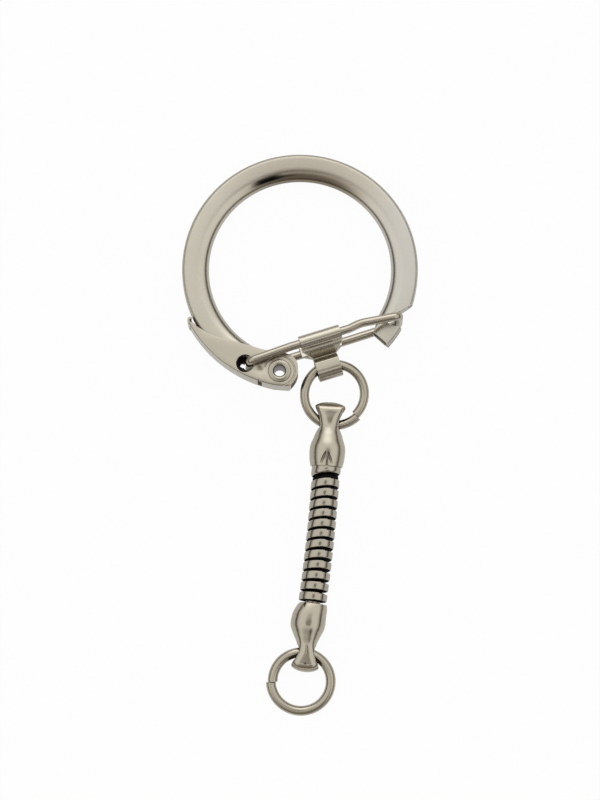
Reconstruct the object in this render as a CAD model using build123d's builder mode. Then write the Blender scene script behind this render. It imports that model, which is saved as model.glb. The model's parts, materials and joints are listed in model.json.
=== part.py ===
from build123d import *
import os
from math import atan2, cos, degrees, hypot, radians, sin

os.makedirs("parts", exist_ok=True)

# Key ring: a split main ring closed by an over-centre lever and a wire bail, a folded clip
# riding on the bail, and a snake chain hung from it between two jump rings.
# Millimetres, +Z up, +Y towards the main ring, lying on a table at z = 0.

# Main ring
ring_outer = 13.85
ring_inner = 10.7
ring_half = 1.15
ring_sheet = 0.35
ring_slit = 0.5
ring_start = -41.5
ring_end = 272.0

# Rivet at the lever's hinge, and the lever
rivet_at = (-2.39, -12.39)
rivet_bore = 0.65
rivet_barrel = 0.92
rivet_flange = 1.35
hinge_end_r = 1.45
lever_inside = 1.2
lever_outside = 1.5
lever_sheet = lever_outside - lever_inside
lever_eye = 2.28
hook_hole = (-6.41, -11.5)
hook_hole_r = 1.06

# Bail
wire_bail = 1.0
bail_level = 2.35
bail_hook = (-5.9, -11.41)
bail_bend_a = (-1.2, -9.72)
bail_bend_b = (5.9, -7.5)
bail_bar = (11.56, -6.02)

# Clip on the bail's straight stretch
clip_sheet = 0.3
clip_bore = 0.55
clip_length = 4.9
clip_tab = 2.85
clip_drop = 4.6

# Jump rings
wire_jump = 1.15
jump_across = 7.0
jump_gap = 0.18

# Snake chain
link_count = 12
link_pitch = 1.2
link_first_extra = 0.55
link_band = 1.65
link_neck = 0.9
link_bore = 0.55
chain_height = 2.08
heading_first = 3.6
heading_last = 8.2
lower_heading = 6.8

# How it lies: the ring leans on its far edge and on the bail, the chain lies on the table
lean = 5.5
ring_height = 2.43
ring_y = 19.2

lying = Plane(
    origin=(0, ring_y, ring_height),
    x_dir=(1, 0, 0),
    z_dir=(0, sin(radians(lean)), cos(radians(lean))),
).location


def polar(radius, angle):
    """Point on a circle about the main ring's centre."""
    return (radius * cos(radians(angle)), radius * sin(radians(angle)))


def across(angle):
    """Plane that holds the ring's axis, with its x pointing out at the given angle."""
    a = radians(angle)
    return Plane(origin=(0, 0, 0), x_dir=(cos(a), sin(a), 0), z_dir=(sin(a), -cos(a), 0))


# Main ring: a C channel of sheet, closed on the inside and slit along the outside
with BuildPart() as main_ring:
    with BuildSketch(across(ring_start)) as channel:
        with Locations(((ring_inner + ring_outer) / 2, 0)):
            Rectangle(ring_outer - ring_inner, 2 * ring_half)
        fillet(channel.vertices().group_by(Axis.X)[0], ring_half * 0.75)
        fillet(channel.vertices().group_by(Axis.X)[-1], 0.55)
        offset(amount=-ring_sheet, mode=Mode.SUBTRACT)
        with Locations((ring_outer, 0)):
            Rectangle(1.2, ring_slit, mode=Mode.SUBTRACT)
    revolve(axis=Axis.Z, revolution_arc=ring_end - ring_start)
    # The hinge end is rounded about the rivet
    with BuildSketch(Plane.XY.offset(-2)) as hinge_end:
        with BuildLine():
            Polyline((-3.7, -9.5), (3, -9.5), (3, -15), (-2.39, -15), rivet_at, (-3.5, -10.9), close=True)
        make_face()
        with Locations(rivet_at):
            Circle(hinge_end_r, mode=Mode.SUBTRACT)
    extrude(amount=4, mode=Mode.SUBTRACT)
    # The free end is cut to a hook: an open notch, a barb and a slanted inner corner
    with BuildSketch(Plane.XY.offset(-2)) as catch_notch:
        with BuildLine():
            Polyline(
                (14.6, -3.25),
                (13.35, -4.1),
                (11.93, -5.02),
                (11.35, -5.32),
                (10.55, -5.42),
                (10.2, -6.15),
                (10.5, -6.85),
                (12.06, -7.14),
                (13.6, -7.5),
                (14.6, -5.5),
                close=True,
            )
        make_face()
        fillet(catch_notch.vertices().sort_by(Axis.X)[:3], 0.32)
        with BuildLine():
            Polyline((9.3, -5.5), (8.62, -7.55), (7.6, -7.7), (8.2, -5.0), close=True)
        make_face()
    extrude(amount=4, mode=Mode.SUBTRACT)
    # Holes for the rivet and for the bail's hooks
    with BuildSketch(Plane.XY.offset(-2)) as ring_holes:
        with Locations(rivet_at):
            Circle(rivet_barrel + 0.02)
        with Locations(hook_hole):
            Circle(hook_hole_r)
    extrude(amount=4, mode=Mode.SUBTRACT)

# Rivet: a drawn eyelet with a rolled flange on each face
rivet_axis = Axis((*rivet_at, 0), (0, 0, 1))
rivet_face = 1.75
with BuildPart() as rivet:
    with BuildSketch(Plane(origin=(*rivet_at, 0), x_dir=(1, 0, 0), z_dir=(0, -1, 0))) as eyelet:
        with BuildLine():
            Line((rivet_bore, 0), (rivet_bore, rivet_face - 0.25))
            RadiusArc((rivet_bore, rivet_face - 0.25), (rivet_bore + 0.25, rivet_face), 0.25)
            Line((rivet_bore + 0.25, rivet_face), (rivet_flange - 0.12, rivet_face))
            RadiusArc((rivet_flange - 0.12, rivet_face), (rivet_flange, rivet_face - 0.12), 0.12)
            Line((rivet_flange, rivet_face - 0.12), (rivet_flange, rivet_face - 0.22))
            Line((rivet_flange, rivet_face - 0.22), (rivet_barrel, rivet_face - 0.22))
            Line((rivet_barrel, rivet_face - 0.22), (rivet_barrel, 0))
            Line((rivet_barrel, 0), (rivet_bore, 0))
        make_face()
        mirror(about=Plane.XZ)
    revolve(axis=rivet_axis)

# Lever: a U channel folded round the ring's outside, with a thumb lip at its tip
lever_back = 14.02
with BuildPart() as lever:
    with BuildSketch(Plane.XY.offset(-lever_outside)) as plate:
        with BuildLine():
            ThreePointArc((-13.05, -6.6), (-9.16, -11.22), (-2.95, -14.12))
            Line((-2.95, -14.12), (-1.2, -14.25))
            Line((-1.2, -14.25), (-0.2, -12.6))
            Line((-0.2, -12.6), (-0.32, -11.3))
            Line((-0.32, -11.3), (-1.15, -10.48))
            ThreePointArc((-1.15, -10.48), (-2.5, -10.12), (-4.35, -9.82))
            Spline((-4.35, -9.82), (-6.4, -9.22), (-8.4, -8.62), (-10.5, -7.98), (-12.1, -7.05))
            Line((-12.1, -7.05), (-12.75, -6.35))
            Line((-12.75, -6.35), (-13.05, -6.6))
        make_face()
        fillet(plate.vertices().sort_by(Axis.X)[-5:-1], 0.35)
    extrude(amount=2 * lever_outside)
    with BuildSketch(Plane.XY.offset(-lever_inside)) as room:
        Circle(lever_back)
        with BuildLine():
            Polyline((-3.4, -9), (-3.4, -13.9), (-1.35, -13.9), (-0.4, -12.6), (-0.4, -9), close=True)
        make_face()
    extrude(amount=2 * lever_inside, mode=Mode.SUBTRACT)
    with BuildSketch(Plane.XY.offset(-2)) as lever_holes:
        with Locations(rivet_at):
            Circle(rivet_barrel + 0.06)
        with Locations(hook_hole):
            Circle(hook_hole_r)
        with Locations((-4.75, -13.72)):
            Rectangle(0.5, 0.75, rotation=-15)
    extrude(amount=4, mode=Mode.SUBTRACT)
    # Curled thumb lip, carried on from the outer wall
    with BuildSketch(Plane.XY.offset(-1.1)):
        with BuildLine():
            Spline((-12.84, -6.98), (-13.0, -6.55), (-13.06, -6.2), (-12.92, -5.98), (-12.74, -6.02))
        trace(line_width=0.24)
    extrude(amount=2.3)
    # Line pressed round the rivet and a small dimple beside the hole
    with BuildSketch(Plane.XY.offset(lever_outside - 0.1)) as pressed:
        SlotArc(arc=CenterArc(rivet_at, 1.78, -80, 245), height=0.16)
        with BuildLine():
            Polyline((-5.05, -11.95), (-4.3, -12.0), (-4.62, -12.6), close=True)
        make_face()
    extrude(amount=0.5, mode=Mode.SUBTRACT)

# Bail: one wire, two long strands joined by a bar in the catch, hooked into the lever
half_bail = (
    (*bail_hook, 1.19),
    (*bail_hook, bail_level),
    (*bail_bend_a, bail_level),
    (*bail_bend_b, bail_level),
    (*bail_bar, bail_level),
)
bail_points = list(half_bail) + [(x, y, -z) for x, y, z in reversed(half_bail)]
with BuildPart() as bail:
    with BuildLine() as bail_line:
        FilletPolyline(*bail_points, radius=0.62)
    with BuildSketch(Plane(origin=bail_points[0], z_dir=(0, 0, 1))) as bail_wire:
        Circle(wire_bail / 2)
    sweep()

# Clip: one folded strip, rolled to a tube on each strand and closed to a loop below them
bail_angle = degrees(atan2(bail_bend_b[1] - bail_bend_a[1], bail_bend_b[0] - bail_bend_a[0]))
clip_at = ((bail_bend_a[0] + bail_bend_b[0]) / 2, (bail_bend_a[1] + bail_bend_b[1]) / 2)
along = (cos(radians(bail_angle)), sin(radians(bail_angle)), 0)
down = (sin(radians(bail_angle)), -cos(radians(bail_angle)), 0)
loop_r = 1.05
fold_half = (
    (0.15, 1.68),
    (0.95, 1.45),
    (1.72, 0.17),
    (2.02, 0.17),
    (2.5, loop_r),
    (clip_drop - loop_r - clip_sheet / 2, loop_r),
)
with BuildPart() as clip:
    with BuildSketch(Plane(origin=(*clip_at, 0), x_dir=down, z_dir=(-along[0], -along[1], 0))) as fold:
        with BuildLine() as fold_line:
            FilletPolyline(*fold_half, radius=0.2)
            ThreePointArc(fold_half[-1], (clip_drop - clip_sheet / 2, 0), (fold_half[-1][0], -loop_r))
            FilletPolyline(*[(x, -y) for x, y in fold_half], radius=0.2)
            offset(amount=clip_sheet / 2, mode=Mode.REPLACE)
        make_face()
        with Locations((0, bail_level), (0, -bail_level)):
            Circle(clip_bore + clip_sheet)
            Circle(clip_bore, mode=Mode.SUBTRACT)
    extrude(amount=clip_length / 2, both=True)
    # The strip narrows from the tubes to the tab
    with BuildSketch(Plane(origin=(*clip_at, -4), x_dir=along, z_dir=(0, 0, 1))) as waist:
        for side in (-1, 1):
            with BuildLine():
                Polyline(
                    (side * 3, -0.95),
                    (side * (clip_length / 2 - 0.1), -0.95),
                    (side * (clip_tab / 2), -1.75),
                    (side * (clip_tab / 2), -5),
                    (side * 3, -5),
                    close=True,
                )
            make_face()
    extrude(amount=8, mode=Mode.SUBTRACT)

# Upper jump ring: round wire, its ends a little out of line
drop = radians(19.2)
hang = (down[0] * cos(drop), down[1] * cos(drop), -sin(drop))
jump_top = (3.12, -11.51, 0)
jump_centre = tuple(jump_top[i] + hang[i] * jump_across / 2 for i in range(3))
jump_upper_plane = Plane(
    origin=jump_centre,
    x_dir=along,
    z_dir=Vector(*along).cross(Vector(-hang[0], -hang[1], -hang[2])),
)


def jump_ring_path(start, skew):
    """Nearly closed ring of wire centreline from the start angle, rising by the skew."""
    turn = 360 - degrees(jump_gap / (jump_across / 2))
    points = []
    for step in range(13):
        angle = radians(start + turn * step / 12)
        rise = skew * (step / 12 - 0.5)
        points.append((jump_across / 2 * cos(angle), jump_across / 2 * sin(angle), rise))
    return points


with BuildPart() as jump_ring_upper:
    with BuildLine(jump_upper_plane) as upper_loop:
        Spline(*jump_ring_path(-62, 0.34))
    with BuildSketch(Plane(origin=upper_loop.line @ 0, z_dir=upper_loop.line % 0)):
        Circle(wire_jump / 2)
    sweep()


# The chain side lies along the table
def on_table(x, y, height, heading):
    """Plane across the chain at a point, its z running down the chain and its y upward."""
    a = radians(heading)
    return Plane(
        origin=(x, ring_y + y, height),
        x_dir=(cos(a), -sin(a), 0),
        z_dir=(-sin(a), -cos(a), 0),
    )


def flat_on(plane):
    """Level plane through the same point, its y running back up the chain."""
    return Plane(origin=plane.origin, x_dir=plane.x_dir, z_dir=(0, 0, 1))


def step_along(x, y, heading, distance):
    """Point further down the chain."""
    return (x - distance * sin(radians(heading)), y - distance * cos(radians(heading)))


# Upper cap: a waisted strap folded over the jump ring and crimped round the chain's end
upper_at = (3.61, -15.58)
upper_heading = 4.0
upper_length = 7.6
upper_sections = (
    (0.0, 1.8, 1.32, 0.5),
    (0.7, 1.74, 1.32, 0.6),
    (1.8, 1.42, 1.36, 0.8),
    (2.9, 1.25, 1.4, 1.0),
    (4.1, 1.66, 1.72, 1.5),
    (5.3, 2.03, 2.03, 2.0),
    (6.6, 2.05, 2.05, 2.02),
    (upper_length, 1.92, 1.92, 1.89),
)
upper_plane = on_table(*upper_at, chain_height, upper_heading)
with BuildPart() as cap_upper:
    for distance, half_width, half_depth, corner in upper_sections:
        with BuildSketch(upper_plane.offset(distance)):
            RectangleRounded(2 * half_width, 2 * half_depth, corner)
    loft()
    # Domed crown
    with BuildSketch(flat_on(upper_plane).offset(-3)) as crown:
        with Locations((0, 0)):
            Rectangle(6, 4)
        with Locations((0, -3.1)):
            Circle(3.1, mode=Mode.SUBTRACT)
        with Locations((0, -2.6)):
            Rectangle(6, 3.2, mode=Mode.SUBTRACT)
    extrude(amount=6, mode=Mode.SUBTRACT)
    # Eye for the jump ring, from side to side, and the fold's round back above it
    with BuildSketch(Plane(origin=upper_plane.origin, x_dir=upper_plane.z_dir, z_dir=-upper_plane.x_dir)):
        with Locations((-0.5, 0)):
            Rectangle(3.64, 6)
        with Locations((1.32, 0)):
            Circle(1.32, mode=Mode.SUBTRACT)
    extrude(amount=3, both=True, mode=Mode.SUBTRACT)
    with BuildSketch(Plane(origin=upper_plane.origin, x_dir=upper_plane.z_dir, z_dir=-upper_plane.x_dir)):
        with Locations((2.02, 0)):
            SlotOverall(3.15, 1.8)
    extrude(amount=3, both=True, mode=Mode.SUBTRACT)
    # Mouth for the chain
    with BuildSketch(upper_plane.offset(upper_length - 2.3)):
        Circle(1.72)
    extrude(amount=2.5, mode=Mode.SUBTRACT)
    # Crimp dart, on the face and on the back
    with BuildSketch(flat_on(upper_plane).offset(-3)) as dart:
        with BuildLine():
            Polyline((0.05, -5.9), (-0.3, -upper_length - 0.1), (0.3, -upper_length - 0.1), close=True)
        make_face()
    extrude(amount=6, mode=Mode.SUBTRACT)

# Snake chain: each link's flange is held behind the lip of the one above it
flange_r = 1.15
lip_r = 1.2
cavity_r = 1.3
flange_top = 0.12
flange_foot = 0.42
band_top = 0.76
web_foot = 0.98
lip_top = 1.4
band_foot = 1.76


def on_sphere(radius, depth):
    """Radius of a sphere's circle at a depth below its centre."""
    return (radius**2 - depth**2) ** 0.5


def turned(plane):
    """Plane that holds the chain's axis, with x outward and y down the chain."""
    return Plane(origin=plane.origin, x_dir=plane.x_dir, z_dir=-plane.y_dir)


def link_outline(extra):
    """Outline of a link, its neck longer by extra."""
    rim = on_sphere(lip_r, lip_top - link_pitch)
    mouth = on_sphere(lip_r, band_foot - link_pitch)
    return (
        (link_bore, flange_top),
        (on_sphere(flange_r, flange_top), flange_top),
        (on_sphere(flange_r, flange_foot), flange_foot),
        (link_neck, flange_foot),
        (link_neck, extra + band_top),
        (link_band - 0.1, extra + band_top),
        (link_band, extra + band_top + 0.12),
        (link_band, extra + band_foot - 0.12),
        (link_band - 0.1, extra + band_foot),
        (mouth, extra + band_foot),
        (rim, extra + lip_top),
        (cavity_r, extra + lip_top),
        (cavity_r, extra + web_foot),
        (link_bore, extra + web_foot),
    )


pivot = step_along(*upper_at, upper_heading, upper_length + 0.39)
collar_plane = on_table(*pivot, chain_height, upper_heading)
with BuildPart() as chain_end_upper:
    with BuildSketch(turned(collar_plane)) as collar:
        with BuildLine():
            Polyline(
                (0, -2.3),
                (1.7, -2.3),
                (1.7, band_foot - link_pitch - 0.1),
                (1.6, band_foot - link_pitch),
                (on_sphere(lip_r, band_foot - link_pitch), band_foot - link_pitch),
                (on_sphere(lip_r, lip_top - link_pitch), lip_top - link_pitch),
                (cavity_r, lip_top - link_pitch),
                (cavity_r, web_foot - link_pitch),
                (0, web_foot - link_pitch),
                close=True,
            )
        make_face()
    revolve(axis=Axis(collar_plane.origin, collar_plane.z_dir))

chain_links = []
for index in range(link_count):
    heading = heading_first + (heading_last - heading_first) * (index + 1) / (link_count + 1)
    extra = link_first_extra if index == 0 else 0
    link_plane = on_table(*pivot, chain_height, heading)
    with BuildPart() as chain_link:
        with BuildSketch(turned(link_plane)) as half_link:
            with BuildLine():
                Polyline(*link_outline(extra), close=True)
            make_face()
        revolve(axis=Axis(link_plane.origin, link_plane.z_dir))
    node = f"chain_link_{index + 1:02d}"
    chain_link.part.label = node
    export_step(chain_link.part, f"parts/{node}.step")
    chain_links.append(link_plane)
    pivot = step_along(*pivot, heading, link_pitch + extra)

plug_plane = on_table(*pivot, chain_height, lower_heading)
with BuildPart() as chain_end_lower:
    with BuildSketch(turned(plug_plane)) as plug:
        with BuildLine():
            Polyline(
                (0, flange_top),
                (on_sphere(flange_r, flange_top), flange_top),
                (on_sphere(flange_r, flange_foot), flange_foot),
                (link_neck, flange_foot),
                (link_neck, band_top),
                (1.55, band_top),
                (1.65, band_top + 0.1),
                (1.65, 3.0),
                (0, 3.0),
                close=True,
            )
        make_face()
    revolve(axis=Axis(plug_plane.origin, plug_plane.z_dir))

# Lower cap: the same kind of cap, turned over
lower_at = step_along(*pivot, lower_heading, band_top + 0.08)
lower_length = 8.0
lower_fold_r = 1.4
lower_sections = (
    (0.0, 1.86, 1.86, 1.83),
    (1.3, 1.98, 1.98, 1.95),
    (2.7, 2.05, 2.05, 2.02),
    (3.8, 1.6, 1.75, 1.5),
    (4.8, 1.12, 1.44, 1.0),
    (5.7, 1.36, lower_fold_r, 0.8),
    (6.8, 1.82, lower_fold_r, 0.6),
    (lower_length, 1.86, lower_fold_r, 0.5),
)
lower_plane = on_table(*lower_at, chain_height, lower_heading)
with BuildPart() as cap_lower:
    for distance, half_width, half_depth, corner in reversed(lower_sections):
        with BuildSketch(lower_plane.offset(distance)):
            RectangleRounded(2 * half_width, 2 * half_depth, corner)
    loft()
    # Domed end
    with BuildSketch(flat_on(lower_plane).offset(-3)) as foot:
        with Locations((0, -lower_length)):
            Rectangle(6, 4)
        with Locations((0, 3.1 - lower_length)):
            Circle(3.1, mode=Mode.SUBTRACT)
        with Locations((0, 2.6 - lower_length)):
            Rectangle(6, 3.2, mode=Mode.SUBTRACT)
    extrude(amount=6, mode=Mode.SUBTRACT)
    # Eye for the jump ring
    with BuildSketch(Plane(origin=lower_plane.origin, x_dir=lower_plane.z_dir, z_dir=-lower_plane.x_dir)):
        with Locations((lower_length + 0.5, 0)):
            Rectangle(3.64, 6)
        with Locations((lower_length - lower_fold_r, 0)):
            Circle(lower_fold_r, mode=Mode.SUBTRACT)
    extrude(amount=3, both=True, mode=Mode.SUBTRACT)
    with BuildSketch(Plane(origin=lower_plane.origin, x_dir=lower_plane.z_dir, z_dir=-lower_plane.x_dir)):
        with Locations((6.05, 0)):
            SlotOverall(2.95, 2.3)
    extrude(amount=3, both=True, mode=Mode.SUBTRACT)
    # Mouth for the chain
    with BuildSketch(lower_plane.offset(-0.2)):
        Circle(1.68)
    extrude(amount=2.6, mode=Mode.SUBTRACT)
    # Seam of the folded strap
    with BuildSketch(flat_on(lower_plane).offset(-3)) as seam:
        with BuildLine():
            Polyline((-0.95, 0.3), (-0.65, 0.3), (-0.72, -1.3), (-0.86, -1.3), close=True)
        make_face()
    extrude(amount=6, mode=Mode.SUBTRACT)

# Lower jump ring, its far side resting on the table
lower_ring_top = 1.85
lower_ring_lean = degrees(atan2(lower_ring_top - wire_jump / 2, jump_across))
lower_ring_at = step_along(*lower_at, 8.2, 9.05)
ring_lower_centre = (lower_ring_at[0], ring_y + lower_ring_at[1], (lower_ring_top + wire_jump / 2) / 2 + 0.02)
jump_lower_plane = Plane(
    origin=ring_lower_centre,
    x_dir=(1, 0, 0),
    z_dir=(0, -sin(radians(lower_ring_lean)), cos(radians(lower_ring_lean))),
)
with BuildPart() as jump_ring_lower:
    with BuildLine(jump_lower_plane) as lower_loop:
        Spline(*jump_ring_path(-178, 0.12))
    with BuildSketch(Plane(origin=lower_loop.line @ 0, z_dir=lower_loop.line % 0)):
        Circle(wire_jump / 2)
    sweep()

# The clasp pieces are drawn flat on the ring's own plane and laid down as the ring lies
main_ring.part.move(lying)
rivet.part.move(lying)
lever.part.move(lying)
bail.part.move(lying)
clip.part.move(lying)
jump_ring_upper.part.move(lying)

main_ring.part.label = "main_ring"
export_step(main_ring.part, "parts/main_ring.step")
rivet.part.label = "rivet"
export_step(rivet.part, "parts/rivet.step")
lever.part.label = "lever"
export_step(lever.part, "parts/lever.step")
bail.part.label = "bail"
export_step(bail.part, "parts/bail.step")
clip.part.label = "clip"
export_step(clip.part, "parts/clip.step")
jump_ring_upper.part.label = "jump_ring_upper"
export_step(jump_ring_upper.part, "parts/jump_ring_upper.step")
cap_upper.part.label = "cap_upper"
export_step(cap_upper.part, "parts/cap_upper.step")
chain_end_upper.part.label = "chain_end_upper"
export_step(chain_end_upper.part, "parts/chain_end_upper.step")
chain_end_lower.part.label = "chain_end_lower"
export_step(chain_end_lower.part, "parts/chain_end_lower.step")
cap_lower.part.label = "cap_lower"
export_step(cap_lower.part, "parts/cap_lower.step")
jump_ring_lower.part.label = "jump_ring_lower"
export_step(jump_ring_lower.part, "parts/jump_ring_lower.step")
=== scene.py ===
"""Key ring: split main ring, over-centre lever, wire bail, folded clip, snake chain and jump rings.

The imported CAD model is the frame. Every piece is built in millimetres on its own small axes and
placed with the positions that the frame's record gives.
"""

from __future__ import annotations

import json
import logging
import math
from contextlib import contextmanager
from dataclasses import dataclass, field
from enum import Enum
from typing import Callable, Iterable, Iterator, Sequence

import bmesh
import bpy
from mathutils import Matrix, Vector

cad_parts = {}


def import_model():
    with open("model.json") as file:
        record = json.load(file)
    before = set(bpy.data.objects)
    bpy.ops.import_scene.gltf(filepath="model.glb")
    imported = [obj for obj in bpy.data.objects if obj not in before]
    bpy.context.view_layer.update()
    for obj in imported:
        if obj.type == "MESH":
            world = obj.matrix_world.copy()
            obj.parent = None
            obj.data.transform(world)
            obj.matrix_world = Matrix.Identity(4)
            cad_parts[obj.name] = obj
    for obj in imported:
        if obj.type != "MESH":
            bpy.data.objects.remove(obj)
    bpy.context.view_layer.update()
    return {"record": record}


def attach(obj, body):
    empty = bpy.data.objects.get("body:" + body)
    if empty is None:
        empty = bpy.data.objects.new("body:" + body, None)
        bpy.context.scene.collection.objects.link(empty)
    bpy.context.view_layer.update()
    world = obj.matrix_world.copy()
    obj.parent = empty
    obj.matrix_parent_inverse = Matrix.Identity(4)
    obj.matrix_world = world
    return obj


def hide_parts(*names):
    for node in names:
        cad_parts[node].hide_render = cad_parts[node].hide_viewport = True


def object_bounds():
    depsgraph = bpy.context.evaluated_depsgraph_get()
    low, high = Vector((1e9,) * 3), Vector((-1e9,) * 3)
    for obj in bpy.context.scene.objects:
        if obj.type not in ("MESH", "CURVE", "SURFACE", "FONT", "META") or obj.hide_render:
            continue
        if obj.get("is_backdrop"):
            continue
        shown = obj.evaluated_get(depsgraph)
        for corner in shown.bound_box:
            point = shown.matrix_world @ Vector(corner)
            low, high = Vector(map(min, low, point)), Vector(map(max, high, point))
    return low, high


LOG = logging.getLogger("key_ring")
MM = 0.001


# --------------------------------------------------------------------------- placement


@dataclass(frozen=True)
class Seat:
    """Where a piece's own millimetre axes lie in the row frame."""

    origin: Vector
    x: Vector
    z: Vector

    def matrix(self) -> Matrix:
        """Matrix from the piece's millimetres to the row frame's metres."""
        x = self.x.normalized()
        z = self.z.normalized()
        y = z.cross(x).normalized()
        turn = Matrix((x, y, z)).transposed().to_4x4()
        return Matrix.Translation(self.origin) @ turn @ Matrix.Scale(MM, 4)

    def shifted(self, x: float = 0.0, y: float = 0.0, z: float = 0.0) -> "Seat":
        """Same axes, with the origin moved along them.

        Args:
            x: Shift along the seat's x, in millimetres.
            y: Shift along the seat's y, in millimetres.
            z: Shift along the seat's z, in millimetres.

        Returns:
            The moved seat.
        """
        return Seat(self.matrix() @ Vector((x, y, z)), self.x, self.z)


@dataclass
class Layout:
    """Seats of all pieces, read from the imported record."""

    record: dict
    joints: dict = field(default_factory=dict)
    mounts: dict = field(default_factory=dict)

    def __post_init__(self) -> None:
        """Indexes the record's joints and mounts by name."""
        behaviour = self.record["behaviour"]
        self.joints = {j["name"]: j for j in behaviour["joints"]}
        self.mounts = {m["name"]: m for m in self.record["mounts"]}

    def pivot(self, joint: str) -> Vector:
        """Position of a joint, in metres."""
        return Vector(self.joints[joint]["pos_m"])

    def axis(self, joint: str) -> Vector:
        """Direction of a joint's axis."""
        return Vector(self.joints[joint]["axis"]).normalized()

    def ring(self) -> Seat:
        """Seat of the main ring, z along its axis."""
        mount = self.mounts["key_loop"]
        return Seat(Vector(mount["pos_m"]), Vector((1, 0, 0)), Vector(mount["axis"]))

    def charm_ring(self) -> Seat:
        """Seat of the lower jump ring, z along its axis."""
        mount = self.mounts["charm_ring"]
        return Seat(Vector(mount["pos_m"]), Vector((1, 0, 0)), Vector(mount["axis"]))

    def chain_seat(self, pivot: Vector, across: Vector) -> Seat:
        """Seat on the chain, z running down the chain, x to its side and y upward.

        Args:
            pivot: Point on the chain's axis, in metres.
            across: Level direction across the chain.

        Returns:
            The seat at that point.
        """
        return Seat(pivot, across, across.cross(Vector((0, 0, 1))))

    def link_pivots(self) -> list[Vector]:
        """Pivots of the chain's links in order, and the lower cap's pivot last."""
        names = sorted(n for n in self.joints if n.startswith("link_"))
        return [self.pivot(n) for n in names] + [self.pivot("cap_lower_bend")]


# --------------------------------------------------------------------------- shader maths


class Value:
    """A shader socket that Python's operators can be used on."""

    def __init__(self, shader: "Shader", socket: bpy.types.NodeSocket) -> None:
        """Wraps a socket of a material being built."""
        self.shader = shader
        self.socket = socket

    def _math(self, operation: str, *terms: "Value | float") -> "Value":
        """Adds one Math node.

        Args:
            operation: Name of the node's operation.
            terms: Its values, in order.

        Returns:
            The node's result.
        """
        return self.shader.add("ShaderNodeMath", {"operation": operation}, *terms)

    def __add__(self, other: "Value | float") -> "Value":
        """Sum."""
        return self._math("ADD", self, other)

    def __radd__(self, other: "Value | float") -> "Value":
        """Sum, reflected."""
        return self._math("ADD", other, self)

    def __sub__(self, other: "Value | float") -> "Value":
        """Difference."""
        return self._math("SUBTRACT", self, other)

    def __rsub__(self, other: "Value | float") -> "Value":
        """Difference, reflected."""
        return self._math("SUBTRACT", other, self)

    def __mul__(self, other: "Value | float") -> "Value":
        """Product."""
        return self._math("MULTIPLY", self, other)

    def __rmul__(self, other: "Value | float") -> "Value":
        """Product, reflected."""
        return self._math("MULTIPLY", other, self)

    def __truediv__(self, other: "Value | float") -> "Value":
        """Quotient."""
        return self._math("DIVIDE", self, other)

    def __pow__(self, other: "Value | float") -> "Value":
        """Power."""
        return self._math("POWER", self, other)

    def clamped(self) -> "Value":
        """Value kept between 0 and 1."""
        return self.shader.add("ShaderNodeClamp", {}, self)

    def ramp(self, low: float, high: float) -> "Value":
        """Smooth step from 0 at low to 1 at high."""
        settings = {"interpolation_type": "SMOOTHSTEP", "clamp": True}
        return self.shader.add("ShaderNodeMapRange", settings, self, low, high, 0.0, 1.0)


class Shader:
    """Builds one material's nodes."""

    def __init__(self, tree: bpy.types.NodeTree) -> None:
        """Starts on an empty node tree."""
        self.tree = tree
        self.tree.nodes.clear()

    def add(
        self, kind: str, settings: dict, *inputs: "Value | float | Sequence | None", **named: object
    ) -> Value:
        """Adds any node, first its settings and then its inputs.

        Args:
            kind: Type name of the node.
            settings: Attributes to set, such as an operation, and under "give" the output wanted.
            inputs: Values or links of its sockets in order, None to skip one.
            named: Values or links by socket name, with underscores for spaces.

        Returns:
            The wanted output, or else the node's first enabled one.
        """
        node = self.tree.nodes.new(kind)
        for key, value in settings.items():
            if key != "give":
                setattr(node, key, value)
        for index, value in enumerate(inputs):
            if value is not None:
                self._feed(node.inputs[index], value)
        for name, value in named.items():
            self._feed(node.inputs[name.replace("_", " ")], value)
        wanted = settings.get("give")
        outputs = [o for o in node.outputs if o.enabled and wanted in (None, o.name)]
        return Value(self, outputs[0] if outputs else None)

    def _feed(self, socket: bpy.types.NodeSocket, value: object) -> None:
        """Links a socket or sets its value."""
        if isinstance(value, Value):
            self.tree.links.new(value.socket, socket)
        else:
            socket.default_value = value

    def mix_colour(self, share: Value | float, low: object, high: object) -> Value:
        """Mixes two colours.

        Args:
            share: Share of the second colour.
            low: Colour at 0.
            high: Colour at 1.

        Returns:
            The mixed colour.
        """
        blank = (None,) * 5
        return self.add("ShaderNodeMix", {"data_type": "RGBA"}, share, *blank, low, high)

    def place(self) -> Value:
        """The surface point on the object's own axes, in metres."""
        return self.add("ShaderNodeTexCoord", {"give": "Object"})

    def distance(self, centre: Vector) -> Value:
        """How far the surface point lies from a centre, in metres."""
        settings = {"operation": "DISTANCE", "give": "Value"}
        return self.add("ShaderNodeVectorMath", settings, self.place(), tuple(centre))

    def noise(self, scale: float, detail: float = 3.0, stretch: Sequence[float] = (1, 1, 1)) -> Value:
        """Noise over the surface.

        Args:
            scale: Grains per metre.
            detail: Octaves.
            stretch: Scale along each axis.

        Returns:
            The noise, from 0 to 1.
        """
        spot = self.add("ShaderNodeMapping", {}, self.place(), Scale=tuple(stretch))
        return self.add("ShaderNodeTexNoise", {}, spot, Scale=scale, Detail=detail)

    def crevice(self, reach: float) -> Value:
        """1 in the open and towards 0 in a gap.

        Args:
            reach: How far the gap is looked for, in metres.

        Returns:
            The openness.
        """
        return self.add("ShaderNodeAmbientOcclusion", {"samples": 8, "give": "AO"}, Distance=reach)


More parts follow.
